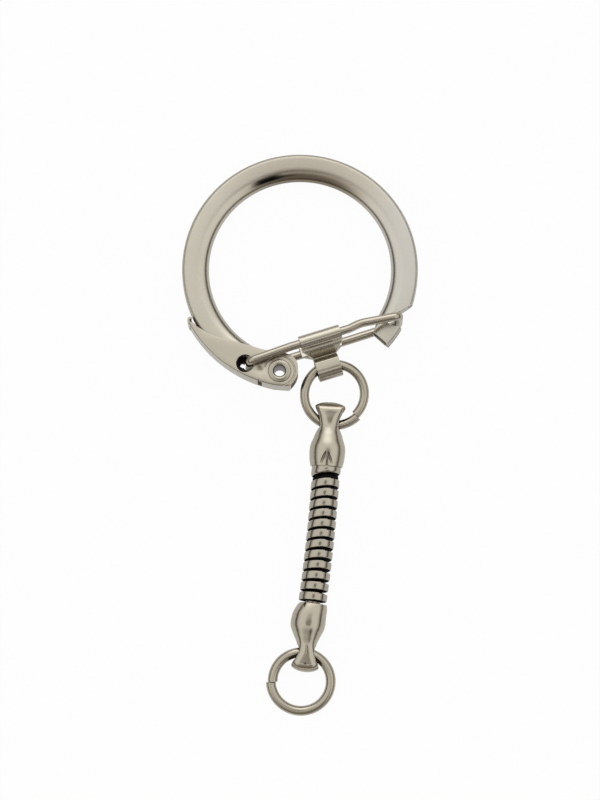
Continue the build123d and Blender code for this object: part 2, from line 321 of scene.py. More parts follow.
@dataclass(frozen=True)
class PaintedLight:
    """Patch of the plate with painted light: its own tone stands in for a reflection, sheen or shade, kept to
    a band round the ring's centre.

    All lengths are millimetres, and its place lies on the main ring's own axes.
    """

    at: tuple[float, float, float]
    inner: float
    outer: float
    colour: tuple[float, float, float]
    strength: float
    band: tuple[float, float, float, float] | None = None

    def share(self, s: Shader, ring: Matrix) -> Value:
        """How much of the painted light's tone a spot takes.

        Args:
            s: The material's nodes.
            ring: Matrix from the main ring's millimetres to the row frame.

        Returns:
            The share, from 0 to the strength.
        """
        near = s.distance(ring @ Vector(self.at))
        share = (1.0 - near.ramp(self.inner * MM, self.outer * MM)) * self.strength
        if self.band:
            far = s.distance(ring.translation)
            low, full, fading, high = (edge * MM for edge in self.band)
            share = share * far.ramp(low, full) * (1.0 - far.ramp(fading, high))
        return share


@dataclass(frozen=True)
class PlatedMetal:
    """Nickel plate on steel, with its wear, random cloud stains and painted shade that darkens its gaps."""

    name: str
    slot: str
    colour: tuple[float, float, float]
    # Dark colour of the painted shade in gaps, also used for the random cloud stains.
    shade_and_stain: tuple[float, float, float]
    roughness: float
    roughness_spread: float
    cloud_scale: float
    scratch_scale: float
    scratch_stretch: tuple[float, float, float]
    scratch_depth: float
    gap_shade_reach: float
    gap_shade_strength: float
    grain: float = 0.22
    polish: float = 0.0
    polish_within: float = 12.0
    painted_light: tuple[PaintedLight, ...] = ()

    def build(self, ring: Matrix) -> bpy.types.Material:
        """Builds the material.

        Args:
            ring: Matrix from the main ring's millimetres to the row frame.

        Returns:
            The Blender material.
        """
        made = bpy.data.materials.new(self.name)
        made.use_nodes = True
        s = Shader(made.node_tree)
        clouds = s.noise(self.cloud_scale, 4.0)
        fine = s.noise(self.scratch_scale, 2.0, self.scratch_stretch)
        # Painted shade: the ambient-occlusion mask darkens the base colour towards a dark colour in gaps and
        # crevices; the cloud stains are random tone.
        openness = s.crevice(self.gap_shade_reach)
        gap = (1.0 - openness.ramp(0.05, 0.75)) * self.gap_shade_strength
        stain = clouds.ramp(0.5, 0.8) * 0.1
        shade_and_stain_share = (gap + stain).clamped()
        worn = tuple(c * 0.95 for c in self.colour)
        tint = s.mix_colour(clouds.ramp(0.3, 0.7), (*worn, 1), (*self.colour, 1))
        # Painted light: each patch mixes a painted reflection, sheen or shade into the colour.
        for light_patch in self.painted_light:
            tint = s.mix_colour(light_patch.share(s, ring), tint, (*light_patch.colour, 1))
        base = s.mix_colour(shade_and_stain_share, tint, (*self.shade_and_stain, 1))
        rough = self.roughness + (clouds - 0.5) * self.roughness_spread + (fine - 0.5) * 0.05 + gap * 0.15
        if self.polish:
            far = s.distance(ring.translation)
            within = self.polish_within * MM
            rough = rough - (1.0 - far.ramp(within - 0.4 * MM, within)) * self.polish
        relief = fine * 0.5 + clouds * 0.3
        bump = s.add("ShaderNodeBump", {}, Strength=self.grain, Distance=self.scratch_depth, Height=relief)
        surface = s.add(
            "ShaderNodeBsdfPrincipled",
            {},
            Base_Color=base,
            Metallic=1.0,
            Roughness=rough.clamped(),
            Normal=bump,
        )
        s.add("ShaderNodeOutputMaterial", {}, surface)
        return made


class Finish(Enum):
    """Finishes of this key ring."""

    RING = PlatedMetal(
        "satin_ring_plate", "ring_steel", (0.515, 0.48, 0.408), (0.20, 0.16, 0.12),
        0.38, 0.08, 260.0, 5200.0, (1.0, 1.0, 0.35), 0.000006, 0.0009, 0.5,
        polish=0.17, polish_within=12.1,
        painted_light=(
            # Painted shade: the ring's top is painted darker.
            PaintedLight((0.0, 13.634, 2.388), 2.0, 13.0, (0.385, 0.345, 0.285), 0.8),
            # Painted sheen: the right side is painted lighter and bluer.
            PaintedLight((13.9, 1.191, 1.19), 3.0, 12.0, (0.525, 0.505, 0.465), 0.8),
            # Painted reflection: brown smear along the inner edge at the top.
            PaintedLight(
                (1.2, 11.145, 2.148), 3.0, 8.5, (0.20, 0.165, 0.12), 0.8,
                (10.3, 10.7, 11.5, 12.4),
            ),
            # Painted reflection: near-black core at the top left of the inner edge.
            PaintedLight(
                (-3.9, 10.648, 2.1), 1.3, 2.7, (0.012, 0.011, 0.010), 0.97,
                (11.0, 11.25, 11.6, 11.9),
            ),
        ),
    )
    CLASP = PlatedMetal(
        "folded_clasp_plate", "clasp_steel", (0.475, 0.437, 0.36), (0.13, 0.095, 0.06),
        0.26, 0.08, 320.0, 4200.0, (0.4, 1.0, 1.0), 0.000004, 0.0010, 0.8,
        painted_light=(
            # Painted shade in the pressed dimple.
            PaintedLight((-4.68, -12.099, 1.497), 0.1, 0.62, (0.16, 0.13, 0.10), 0.75),
            # Painted shade beside the rivet.
            PaintedLight((-3.6, -10.798, 1.542), 0.2, 0.9, (0.22, 0.18, 0.13), 0.6),
        ),
    )
    RIVET = PlatedMetal(
        "rivet_plate", "rivet_steel", (0.41, 0.375, 0.31), (0.10, 0.075, 0.045),
        0.24, 0.06, 500.0, 6000.0, (1.0, 1.0, 1.0), 0.000008, 0.0008, 0.85,
    )
    WIRE = PlatedMetal(
        "drawn_wire_plate", "wire_steel", (0.43, 0.39, 0.315), (0.10, 0.075, 0.045),
        0.24, 0.07, 420.0, 5200.0, (0.5, 0.5, 1.0), 0.000008, 0.0009, 0.8,
    )
    CAP = PlatedMetal(
        "crimped_cap_plate", "cap_steel", (0.46, 0.42, 0.34), (0.09, 0.065, 0.04),
        0.23, 0.08, 380.0, 4600.0, (1.0, 0.4, 1.0), 0.000009, 0.0010, 0.85,
    )
    CHAIN = PlatedMetal(
        "snake_chain_plate", "chain_steel", (0.42, 0.385, 0.32), (0.03, 0.024, 0.018),
        0.20, 0.07, 700.0, 5200.0, (1.0, 1.0, 1.0), 0.000008, 0.0005, 0.95,
    )
    # Painted shade: near-black colour on the chain's inner faces, where shade falls.
    CHAIN_INSIDE = PlatedMetal(
        "painted_shade_chain_inside", "chain_steel", (0.012, 0.011, 0.010), (0.006, 0.006, 0.006),
        0.8, 0.08, 700.0, 5200.0, (1.0, 1.0, 1.0), 0.000008, 0.0005, 0.95,
    )
    # Painted shade: near-black colour on hole walls and inside the clip's tubes, where shade falls.
    HOLE_WALL = PlatedMetal(
        "painted_shade_hole_wall", "clasp_steel", (0.035, 0.030, 0.026), (0.010, 0.009, 0.008),
        0.5, 0.08, 700.0, 5200.0, (1.0, 1.0, 1.0), 0.000008, 0.0005, 0.9,
    )
    # Painted shade: darker colour for the faces inside the rivet's bore.
    BORE = PlatedMetal(
        "painted_shade_rivet_bore", "rivet_steel", (0.22, 0.21, 0.20), (0.02, 0.018, 0.016),
        0.34, 0.08, 700.0, 5200.0, (1.0, 1.0, 1.0), 0.000008, 0.0009, 0.9,
    )


# --------------------------------------------------------------------------- mesh helpers


def bevelled(
    bm: bmesh.types.BMesh, edges: Iterable[bmesh.types.BMEdge], width: float, segments: int
) -> None:
    """Rounds edges in place.

    Args:
        bm: Mesh being shaped.
        edges: Edges to round.
        width: Bevel width, in the mesh's units.
        segments: Number of strips.
    """
    bmesh.ops.bevel(
        bm,
        geom=list(edges),
        offset=width,
        offset_type="OFFSET",
        affect="EDGES",
        segments=segments,
        profile=0.5,
        material=-1,
        clamp_overlap=True,
    )


def spun(
    bm: bmesh.types.BMesh, axis: Vector, centre: Vector, angle: float, steps: int, closed: bool
) -> None:
    """Turns everything in the mesh about an axis.

    Args:
        bm: Mesh holding the profile.
        axis: Direction of the axis.
        centre: Point on the axis.
        angle: Angle of the turn, in radians.
        steps: Number of steps.
        closed: Whether the last step joins the first.
    """
    bmesh.ops.spin(
        bm,
        geom=bm.verts[:] + bm.edges[:],
        cent=centre,
        axis=axis,
        dvec=(0, 0, 0),
        angle=angle,
        steps=steps,
        use_merge=closed,
        use_duplicate=False,
    )


def turned(bm: bmesh.types.BMesh, angle: float, axis: str = "Z") -> None:
    """Turns the whole mesh about an axis through its origin.

    Args:
        bm: Mesh to turn.
        angle: Angle, in degrees.
        axis: Letter of the axis.
    """
    bmesh.ops.rotate(bm, verts=bm.verts, cent=(0, 0, 0), matrix=Matrix.Rotation(math.radians(angle), 3, axis))


def shifted_out(bm: bmesh.types.BMesh, grown: dict, step: Sequence[float]) -> None:
    """Moves what an extrusion has added.

    Args:
        bm: Mesh being shaped.
        grown: The extrusion's result.
        step: How far its new vertices move.
    """
    moved = [v for v in grown["geom"] if isinstance(v, bmesh.types.BMVert)]
    bmesh.ops.translate(bm, verts=moved, vec=step)


def cornered(bm: bmesh.types.BMesh, verts: list, reach: float, segments: int) -> None:
    """Rounds the corners of a line.

    Args:
        bm: Mesh being shaped.
        verts: Its corners.
        reach: How far each rounding reaches along the line.
        segments: Steps round each corner.
    """
    bmesh.ops.bevel(
        bm, geom=verts, offset=reach, offset_type="OFFSET", affect="VERTICES",
        segments=segments, profile=0.5, material=-1,
    )


def capped(bm: bmesh.types.BMesh) -> None:
    """Closes the open ends of a tube."""
    bmesh.ops.holes_fill(bm, edges=[e for e in bm.edges if e.is_boundary], sides=0)


def chain_of(bm: bmesh.types.BMesh, points: Iterable[Sequence[float]], closed: bool = False) -> list:
    """Adds a run of vertices joined by edges.

    Args:
        bm: Mesh to add to.
        points: The vertices' places.
        closed: Whether the last joins the first.

    Returns:
        The new vertices.
    """
    verts = [bm.verts.new(p) for p in points]
    for a, b in zip(verts, verts[1:]):
        bm.edges.new((a, b))
    if closed:
        bm.edges.new((verts[-1], verts[0]))
    return verts


def tidy_normals(bm: bmesh.types.BMesh) -> None:
    """Merges doubles and points the faces outward."""
    bmesh.ops.remove_doubles(bm, verts=bm.verts, dist=1e-5)
    bmesh.ops.recalc_face_normals(bm, faces=bm.faces)


def sharp_where(bm: bmesh.types.BMesh, angle: float) -> None:
    """Smooth faces, with edges over the angle kept sharp.

    Args:
        bm: Mesh to mark.
        angle: Limit, in degrees.
    """
    limit = math.radians(angle)
    for face in bm.faces:
        face.smooth = True
    for edge in bm.edges:
        edge.smooth = len(edge.link_faces) == 2 and edge.calc_face_angle(0.0) < limit


def as_object(bm: bmesh.types.BMesh, name: str) -> bpy.types.Object:
    """Makes an object of a mesh and frees the mesh.

    Args:
        bm: The finished mesh.
        name: The object's name.

    Returns:
        The object, linked to the scene.
    """
    mesh = bpy.data.meshes.new(name)
    bm.to_mesh(mesh)
    bm.free()
    made = bpy.data.objects.new(name, mesh)
    bpy.context.scene.collection.objects.link(made)
    return made


def carve(target: bpy.types.Object, cutters: Sequence[bpy.types.Object]) -> None:
    """Cuts other solids out of a piece and removes them.

    Args:
        target: The piece that is cut.
        cutters: Solids to take away.
    """
    for cutter in cutters:
        cut = target.modifiers.new("cut", "BOOLEAN")
        cut.operation = "DIFFERENCE"
        cut.solver = "EXACT"
        cut.object = cutter
    baked(target)
    for cutter in cutters:
        bpy.data.objects.remove(cutter)


@contextmanager
def edited(target: bpy.types.Object) -> Iterator[bmesh.types.BMesh]:
    """Opens a piece's mesh for bmesh operators and writes it back.

    Args:
        target: The piece.

    Yields:
        Its mesh.
    """
    bm = bmesh.new()
    bm.from_mesh(target.data)
    yield bm
    bm.to_mesh(target.data)
    bm.free()


def baked(target: bpy.types.Object) -> None:
    """Makes a piece's modifiers part of its mesh."""
    graph = bpy.context.evaluated_depsgraph_get()
    mesh = bpy.data.meshes.new_from_object(target.evaluated_get(graph))
    target.modifiers.clear()
    target.data = mesh


def walled(target: bpy.types.Object, thickness: float, offset: float, even: bool = True) -> bpy.types.Object:
    """Gives an open sheet its thickness.

    Args:
        target: The sheet.
        thickness: Thickness of the wall.
        offset: Side that it grows to, from -1 inward to 1 outward.
        even: Whether it stays as thick round bends.

    Returns:
        The sheet.
    """
    wall = target.modifiers.new("wall", "SOLIDIFY")
    wall.thickness = thickness
    wall.offset = offset
    wall.use_even_offset = even
    baked(target)
    return target


def softened(target: bpy.types.Object, width: float, segments: int = 2, angle: float = 32.0) -> None:
    """Breaks a piece's sharp edges and shades it smoothly.

    Args:
        target: The piece.
        width: Width of the broken edge, in the mesh's units.
        segments: Strips across it.
        angle: Edges over this angle are broken, in degrees.
    """
    with edited(target) as bm:
        bmesh.ops.remove_doubles(bm, verts=bm.verts, dist=2e-4)
        bmesh.ops.dissolve_degenerate(bm, edges=bm.edges, dist=2e-4)
        sharp_where(bm, angle)
    rim = target.modifiers.new("broken_edge", "BEVEL")
    rim.width = width
    rim.segments = segments
    rim.limit_method = "ANGLE"
    rim.angle_limit = math.radians(angle)
    rim.use_clamp_overlap = True
    rim.harden_normals = True
    rim.miter_outer = "MITER_ARC"
    baked(target)


def prism(
    name: str, points: Sequence[Sequence[float]], low: float, high: float, lying: str = "z"
) -> bpy.types.Object:
    """Solid with a flat outline.

    Args:
        name: The object's name.
        points: Outline, as pairs.
        low: Lower level.
        high: Upper level.
        lying: Axis that the levels are along, x, y or z.

    Returns:
        The solid as an object.
    """
    place: dict[str, Callable[[float, float], tuple]] = {
        "z": lambda a, b: (a, b, low),
        "x": lambda a, b: (low, a, b),
        "y": lambda a, b: (a, low, b),
    }
    rise = {"z": (0, 0, high - low), "x": (high - low, 0, 0), "y": (0, high - low, 0)}[lying]
    bm = bmesh.new()
    verts = [bm.verts.new(place[lying](a, b)) for a, b in points]
    face = bm.faces.new(verts)
    shifted_out(bm, bmesh.ops.extrude_face_region(bm, geom=[face]), rise)
    tidy_normals(bm)
    return as_object(bm, name)


def drum(
    name: str, centre: Sequence[float], radius: float, low: float, high: float, segments: int = 96
) -> bpy.types.Object:
    """Round cutter standing along z.

    Args:
        name: The object's name.
        centre: Its axis, as x and y.
        radius: Its radius.
        low: Lower end.
        high: Upper end.
        segments: Sides.

    Returns:
        The solid as an object.
    """
    bm = bmesh.new()
    move = Matrix.Translation((centre[0], centre[1], (low + high) / 2))
    bmesh.ops.create_cone(
        bm, cap_ends=True, segments=segments, radius1=radius, radius2=radius, depth=high - low, matrix=move
    )
    return as_object(bm, name)


def arc(
    centre: Sequence[float], radius: float, start: float, end: float, steps: int
) -> list[tuple[float, float]]:
    """Points along an arc.

    Args:
        centre: Centre, as a pair.
        radius: Radius.
        start: First angle, in degrees.
        end: Last angle, in degrees.
        steps: Number of steps between them.

    Returns:
        The points as pairs.
    """
    angles = (math.radians(start + (end - start) * i / steps) for i in range(steps + 1))
    return [(centre[0] + radius * math.cos(a), centre[1] + radius * math.sin(a)) for a in angles]


def arc_through(
    first: Sequence[float], middle: Sequence[float], last: Sequence[float], steps: int
) -> list[tuple[float, float]]:
    """Points along the arc through three points.

    Args:
        first: First point, as a pair.
        middle: Point on the way.
        last: Last point.
        steps: Number of steps.

    Returns:
        The points as pairs.
    """
    a, b, c = (Vector((*p, 0.0)) for p in (first, middle, last))
    u, v = b - a, c - a
    n = u.cross(v)
    centre = a + (v.length_squared * n.cross(u) + u.length_squared * v.cross(n)) / (2 * n.length_squared)
    begin = math.degrees(math.atan2(a.y - centre.y, a.x - centre.x))
    turn = math.degrees(math.atan2(c.y - centre.y, c.x - centre.x)) - begin
    turn = turn % 360 if n.z > 0 else turn % 360 - 360
    return arc(centre.xy, (a - centre).length, begin, begin + turn, steps)


def mesh_of(curve: bpy.types.Curve) -> bpy.types.Mesh:
    """Makes a mesh of a curve and removes the curve.

    Args:
        curve: The finished curve.

    Returns:
        The mesh, which the caller removes.
    """
    holder = bpy.data.objects.new(curve.name, curve)
    bpy.context.scene.collection.objects.link(holder)
    bpy.context.view_layer.update()
    mesh = bpy.data.meshes.new_from_object(holder)
    bpy.data.objects.remove(holder)
    bpy.data.curves.remove(curve)
    return mesh


def smooth_run(points: Sequence[Sequence[float]], steps: int) -> list[tuple[float, float]]:
    """Smooth open line through a few points.

    Args:
        points: Points it passes through, as pairs.
        steps: Steps along each stretch.

    Returns:
        The line's points, as pairs.
    """
    curve = bpy.data.curves.new("run", "CURVE")
    curve.resolution_u = steps
    line = curve.splines.new("BEZIER")
    line.bezier_points.add(len(points) - 1)
    for spot, (x, y) in zip(line.bezier_points, points):
        spot.co = (x, y, 0)
        spot.handle_left_type = "AUTO"
        spot.handle_right_type = "AUTO"
    mesh = mesh_of(curve)
    made = [(v.co.x, v.co.y) for v in mesh.vertices]
    bpy.data.meshes.remove(mesh)
    return made


def bent_line(
    bm: bmesh.types.BMesh, points: Sequence[Sequence[float]], radii: Sequence[float], segments: int
) -> None:
    """Adds an open run of edges whose corners are rounded.

    Args:
        bm: Mesh to add to.
        points: Corners of the run.
        radii: Radius at each inner corner, 0 where it stays as it is.
        segments: Steps round each corner.
    """
    places = [Vector(p) for p in points]
    verts = chain_of(bm, points)
    for index, radius in enumerate(radii, start=1):
        if radius <= 0:
            continue
        before = (places[index] - places[index - 1]).normalized()
        after = (places[index + 1] - places[index]).normalized()
        reach = radius * math.tan(before.angle(after) / 2)
        cornered(bm, [verts[index]], reach, segments)


def walked(bm: bmesh.types.BMesh, start: Sequence[float]) -> list[Vector]:
    """Places along an open run of edges, in order.

    Args:
        bm: Mesh holding only the run.
        start: Place of its first vertex.

    Returns:
        The places.
    """
    here = min(bm.verts, key=lambda v: (v.co - Vector(start)).length)
    seen = [here]
    while True:
        onward = [e.other_vert(here) for e in here.link_edges if e.other_vert(here) not in seen]
        if not onward:
            return [v.co.copy() for v in seen]
        here = onward[0]
        seen.append(here)


def bent_wire(
    name: str, points: Sequence[Sequence[float]], radii: Sequence[float], wire_radius: float
) -> bpy.types.Object:
    """Round wire along a bent line.

    Args:
        name: The object's name.
        points: Corners of the wire's centreline.
        radii: Bend radius at each inner corner.
        wire_radius: Radius of the wire.

    Returns:
        The wire as an object, its ends closed.
    """
    bm = bmesh.new()
    bent_line(bm, points, radii, 9)
    places = walked(bm, points[0])
    bm.free()
    curve = bpy.data.curves.new(name, "CURVE")
    curve.dimensions = "3D"
    curve.bevel_depth = wire_radius
    curve.bevel_resolution = 10
    curve.use_fill_caps = True
    line = curve.splines.new("POLY")
    line.points.add(len(places) - 1)
    for spot, place in zip(line.points, places):
        spot.co = (*place, 1.0)
    mesh = mesh_of(curve)
    bm = bmesh.new()
    bm.from_mesh(mesh)
    bpy.data.meshes.remove(mesh)
    tidy_normals(bm)
    return as_object(bm, name)


def turned_solid(name: str, profile: Sequence[Sequence[float]], steps: int = 96) -> bpy.types.Object:
    """Solid of revolution about z.

    Args:
        name: The object's name.
        profile: Closed outline, or one that ends on the axis, as pairs of radius and level.
        steps: Steps of the full turn.

    Returns:
        The solid as an object.
    """
    bm = bmesh.new()
    closed = min(p[0] for p in profile) > 1e-6
    chain_of(bm, [(r, 0.0, z) for r, z in profile], closed=closed)
    spun(bm, Vector((0, 0, 1)), Vector((0, 0, 0)), math.tau, steps, True)
    tidy_normals(bm)
    return as_object(bm, name)


def placed(
    target: bpy.types.Object, seat: Seat, finish: Finish, body: str, nodes: Sequence[str]
) -> bpy.types.Object:
    """Puts a finished piece in the row frame and says what it stands for.

    Args:
        target: The piece, in its own millimetres.
        seat: Where its axes lie.
        finish: Its finish.
        body: The body it rides on.
        nodes: The CAD nodes it stands for.

    Returns:
        The piece.
    """
    target.data.transform(seat.matrix())
    target.data.materials.clear()
    target.data.materials.append(bpy.data.materials[finish.value.name])
    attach(target, body)
    if nodes:
        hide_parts(*nodes)
    LOG.info("%s: %d faces on %s", target.name, len(target.data.polygons), body)
    return target


def paint_shade_on(target: bpy.types.Object, inside: Sequence[int], finish: Finish) -> None:
    """Paints shade on some of a piece's faces with a second, dark finish.

    Args:
        target: The piece.
        inside: Numbers of the faces.
        finish: The painted-shade finish they take.
    """
    target.data.materials.append(bpy.data.materials[finish.value.name])
    for index in inside:
        target.data.polygons[index].material_index = 1


def walls_near(
    target: bpy.types.Object, at: Sequence[float], reach: float, top: float = math.inf
) -> list[int]:
    """Numbers of the faces near an upright axis, such as in a hole through a plate.

    Args:
        target: The piece, in its own millimetres.
        at: Place of the axis, as x and y.
        reach: Radius looked in.
        top: Level of the plate's upper side, which is left out.

    Returns:
        The faces' numbers.
    """
    spot = Vector(at)
    return [
        p.index for p in target.data.polygons
        if (p.center.xy - spot).length < reach and p.center.z < top - 0.02
    ]


# --------------------------------------------------------------------------- main ring


RIVET_AT = (-2.39, -12.39)
RING_RIVET_HOLE = 0.94
LEVER_RIVET_HOLE = 0.98
HOOK_HOLE = (-6.41, -11.5)
HOOK_HOLE_RADIUS = 1.06
LOWER_HOOK_HOLE = ((-5.95, -11.42), 0.64)
LOWER_HOOK_GAP = ((-6.72, -11.3), 0.3)


def hook_holes(middle: float, reach: float) -> list[bpy.types.Object]:
    """Cutters for the bail's hooks: an open hole above, a close one and a small gap below.

    Args:
        middle: Level where the upper hole ends.
        reach: Furthest level of both.

    Returns:
        The cutters.
    """
    return [
        drum("cut_hook_above", HOOK_HOLE, HOOK_HOLE_RADIUS, middle, reach),
        drum("cut_hook_below", *LOWER_HOOK_HOLE, -reach, middle),
        drum("cut_hook_gap", *LOWER_HOOK_GAP, -reach, middle),
    ]


@dataclass
class MainRing:
    """Split ring bent from a C channel of sheet, open along its outside."""

    layout: Layout
    outer: float = 13.85
    inner: float = 10.7
    half: float = 1.15
    sheet: float = 0.35
    slit: float = 0.5
    crown: float = 12.25
    fold: float = 0.55
    hinge_end: float = 1.45
    start: float = -41.5
    end: float = 272.0
    core_start: float = -38.0
    core_turn: float = 22.0

    def channel(self) -> bpy.types.Object:
        """Turns the channel's section round the ring.

        Returns:
            The channel before its ends are cut.
        """
        middle = self.slit / 2
        depth = self.crown - self.inner
        bow = [(self.crown + depth * r, self.half * z) for r, z in arc((0, 0), 1.0, 90, 270, 36)]
        corners = [(self.outer, middle), (self.outer, self.half), *bow]
        corners += [(self.outer, -self.half), (self.outer, -middle)]
        bm = bmesh.new()
        radii = [self.fold] + [0.0] * len(bow) + [self.fold]
        bent_line(bm, [(r, 0.0, z) for r, z in corners], radii, 8)
        turned(bm, self.start)
        spun(bm, Vector((0, 0, 1)), Vector((0, 0, 0)), math.radians(self.end - self.start), 190, False)
        bmesh.ops.recalc_face_normals(bm, faces=bm.faces)
        top = max(bm.faces, key=lambda f: f.calc_center_median().z)
        if top.normal.z < 0:
            bmesh.ops.reverse_faces(bm, faces=bm.faces)
        return walled(as_object(bm, "ring_band"), self.sheet, -1.0)

    def cutters(self) -> list[bpy.types.Object]:
        """Solids that shape the hinge end, the catch and the holes."""
        x, y = RIVET_AT
        hinge_end = [(-3.3, -9.5), *arc((x, y), self.hinge_end, 118, -90, 40)]
        hinge_end += [(x, -15.5), (3.4, -15.5), (3.4, -9.5)]
        catch = [
            (14.6, -3.25),
            (13.35, -4.1),
            *arc_through((11.93, -5.02), (11.5, -5.26), (11.05, -5.38), 4),
            *arc_through((10.55, -5.46), (10.2, -6.15), (10.52, -6.82), 6),
            (12.06, -7.14),
            (13.6, -7.5),
            (14.6, -5.5),
        ]
        corner = [(9.3, -5.5), (8.62, -7.55), (7.6, -7.7), (8.2, -5.0)]
        return [
            prism("cut_hinge_end", hinge_end, -2.0, 2.0),
            prism("cut_catch", catch, -2.0, 2.0),
            prism("cut_corner", corner, -2.0, 2.0),
            drum("cut_rivet_hole", RIVET_AT, RING_RIVET_HOLE, -2.0, 2.0),
            *hook_holes(0.0, 2.0),
        ]

    def end_fill(self) -> bpy.types.Object:
        """Solid core pressed into the channel behind the catch, cut as the channel is.

        Returns:
            The core.
        """
        low, high = self.inner + self.sheet + 0.25, self.outer - self.sheet - 0.02
        tall = self.half - self.sheet - 0.02
        bm = bmesh.new()
        spots = [(low, tall * 0.6), (low + 0.4, tall), (high, tall)]
        spots += [(r, -z) for r, z in reversed(spots)]
        chain_of(bm, [(r, 0.0, z) for r, z in spots], closed=True)
        turned(bm, self.core_start)
        spun(bm, Vector((0, 0, 1)), Vector((0, 0, 0)), math.radians(self.core_turn), 16, False)
        capped(bm)
        tidy_normals(bm)
        return as_object(bm, "ring_end_core")

    def build(self) -> None:
        """Builds and places the ring."""
        ring = self.channel()
        carve(ring, self.cutters())
        softened(ring, 0.04)
        walls = walls_near(ring, HOOK_HOLE, HOOK_HOLE_RADIUS + 0.25, self.half)
        placed(ring, self.layout.ring(), Finish.RING, "frame", ("main_ring",))
        # Painted shade on the walls of the hook hole.
        paint_shade_on(ring, walls, Finish.HOLE_WALL)
        core = self.end_fill()
        carve(core, self.cutters())
        placed(core, self.layout.ring(), Finish.RING, "frame", ())


@dataclass
class Rivet:
    """Drawn eyelet with a rolled flange on each face, the hinge of the lever."""

    layout: Layout
    bore: float = 0.65
    barrel: float = 0.92
    flange: float = 1.35
    face: float = 1.75

    def half_profile(self) -> list[tuple[float, float]]:
        """Upper half of the section, from the bore outward."""
        lip = arc((self.bore + 0.3, self.face - 0.3), 0.3, 180, 90, 8)
        edge = arc((self.flange - 0.13, self.face - 0.17), 0.13, 90, 0, 5)
        under = self.face - 0.22
        return [*lip, (1.1, self.face - 0.015), *edge, (self.flange, under), (self.barrel, under)]

    def build(self) -> None:
        """Builds and places the rivet."""
        upper = self.half_profile()
        lower = [(r, -z) for r, z in reversed(upper)]
        eyelet = turned_solid("rivet_eyelet", upper + lower, 72)
        softened(eyelet, 0.015, 1)
        seat = self.layout.ring().shifted(*RIVET_AT)
        bore = walls_near(eyelet, (0, 0), self.bore + 0.04, self.face - 0.2)
        placed(eyelet, seat, Finish.RIVET, "frame", ("rivet",))
        # Painted shade in the rivet's bore.
        paint_shade_on(eyelet, bore, Finish.BORE)


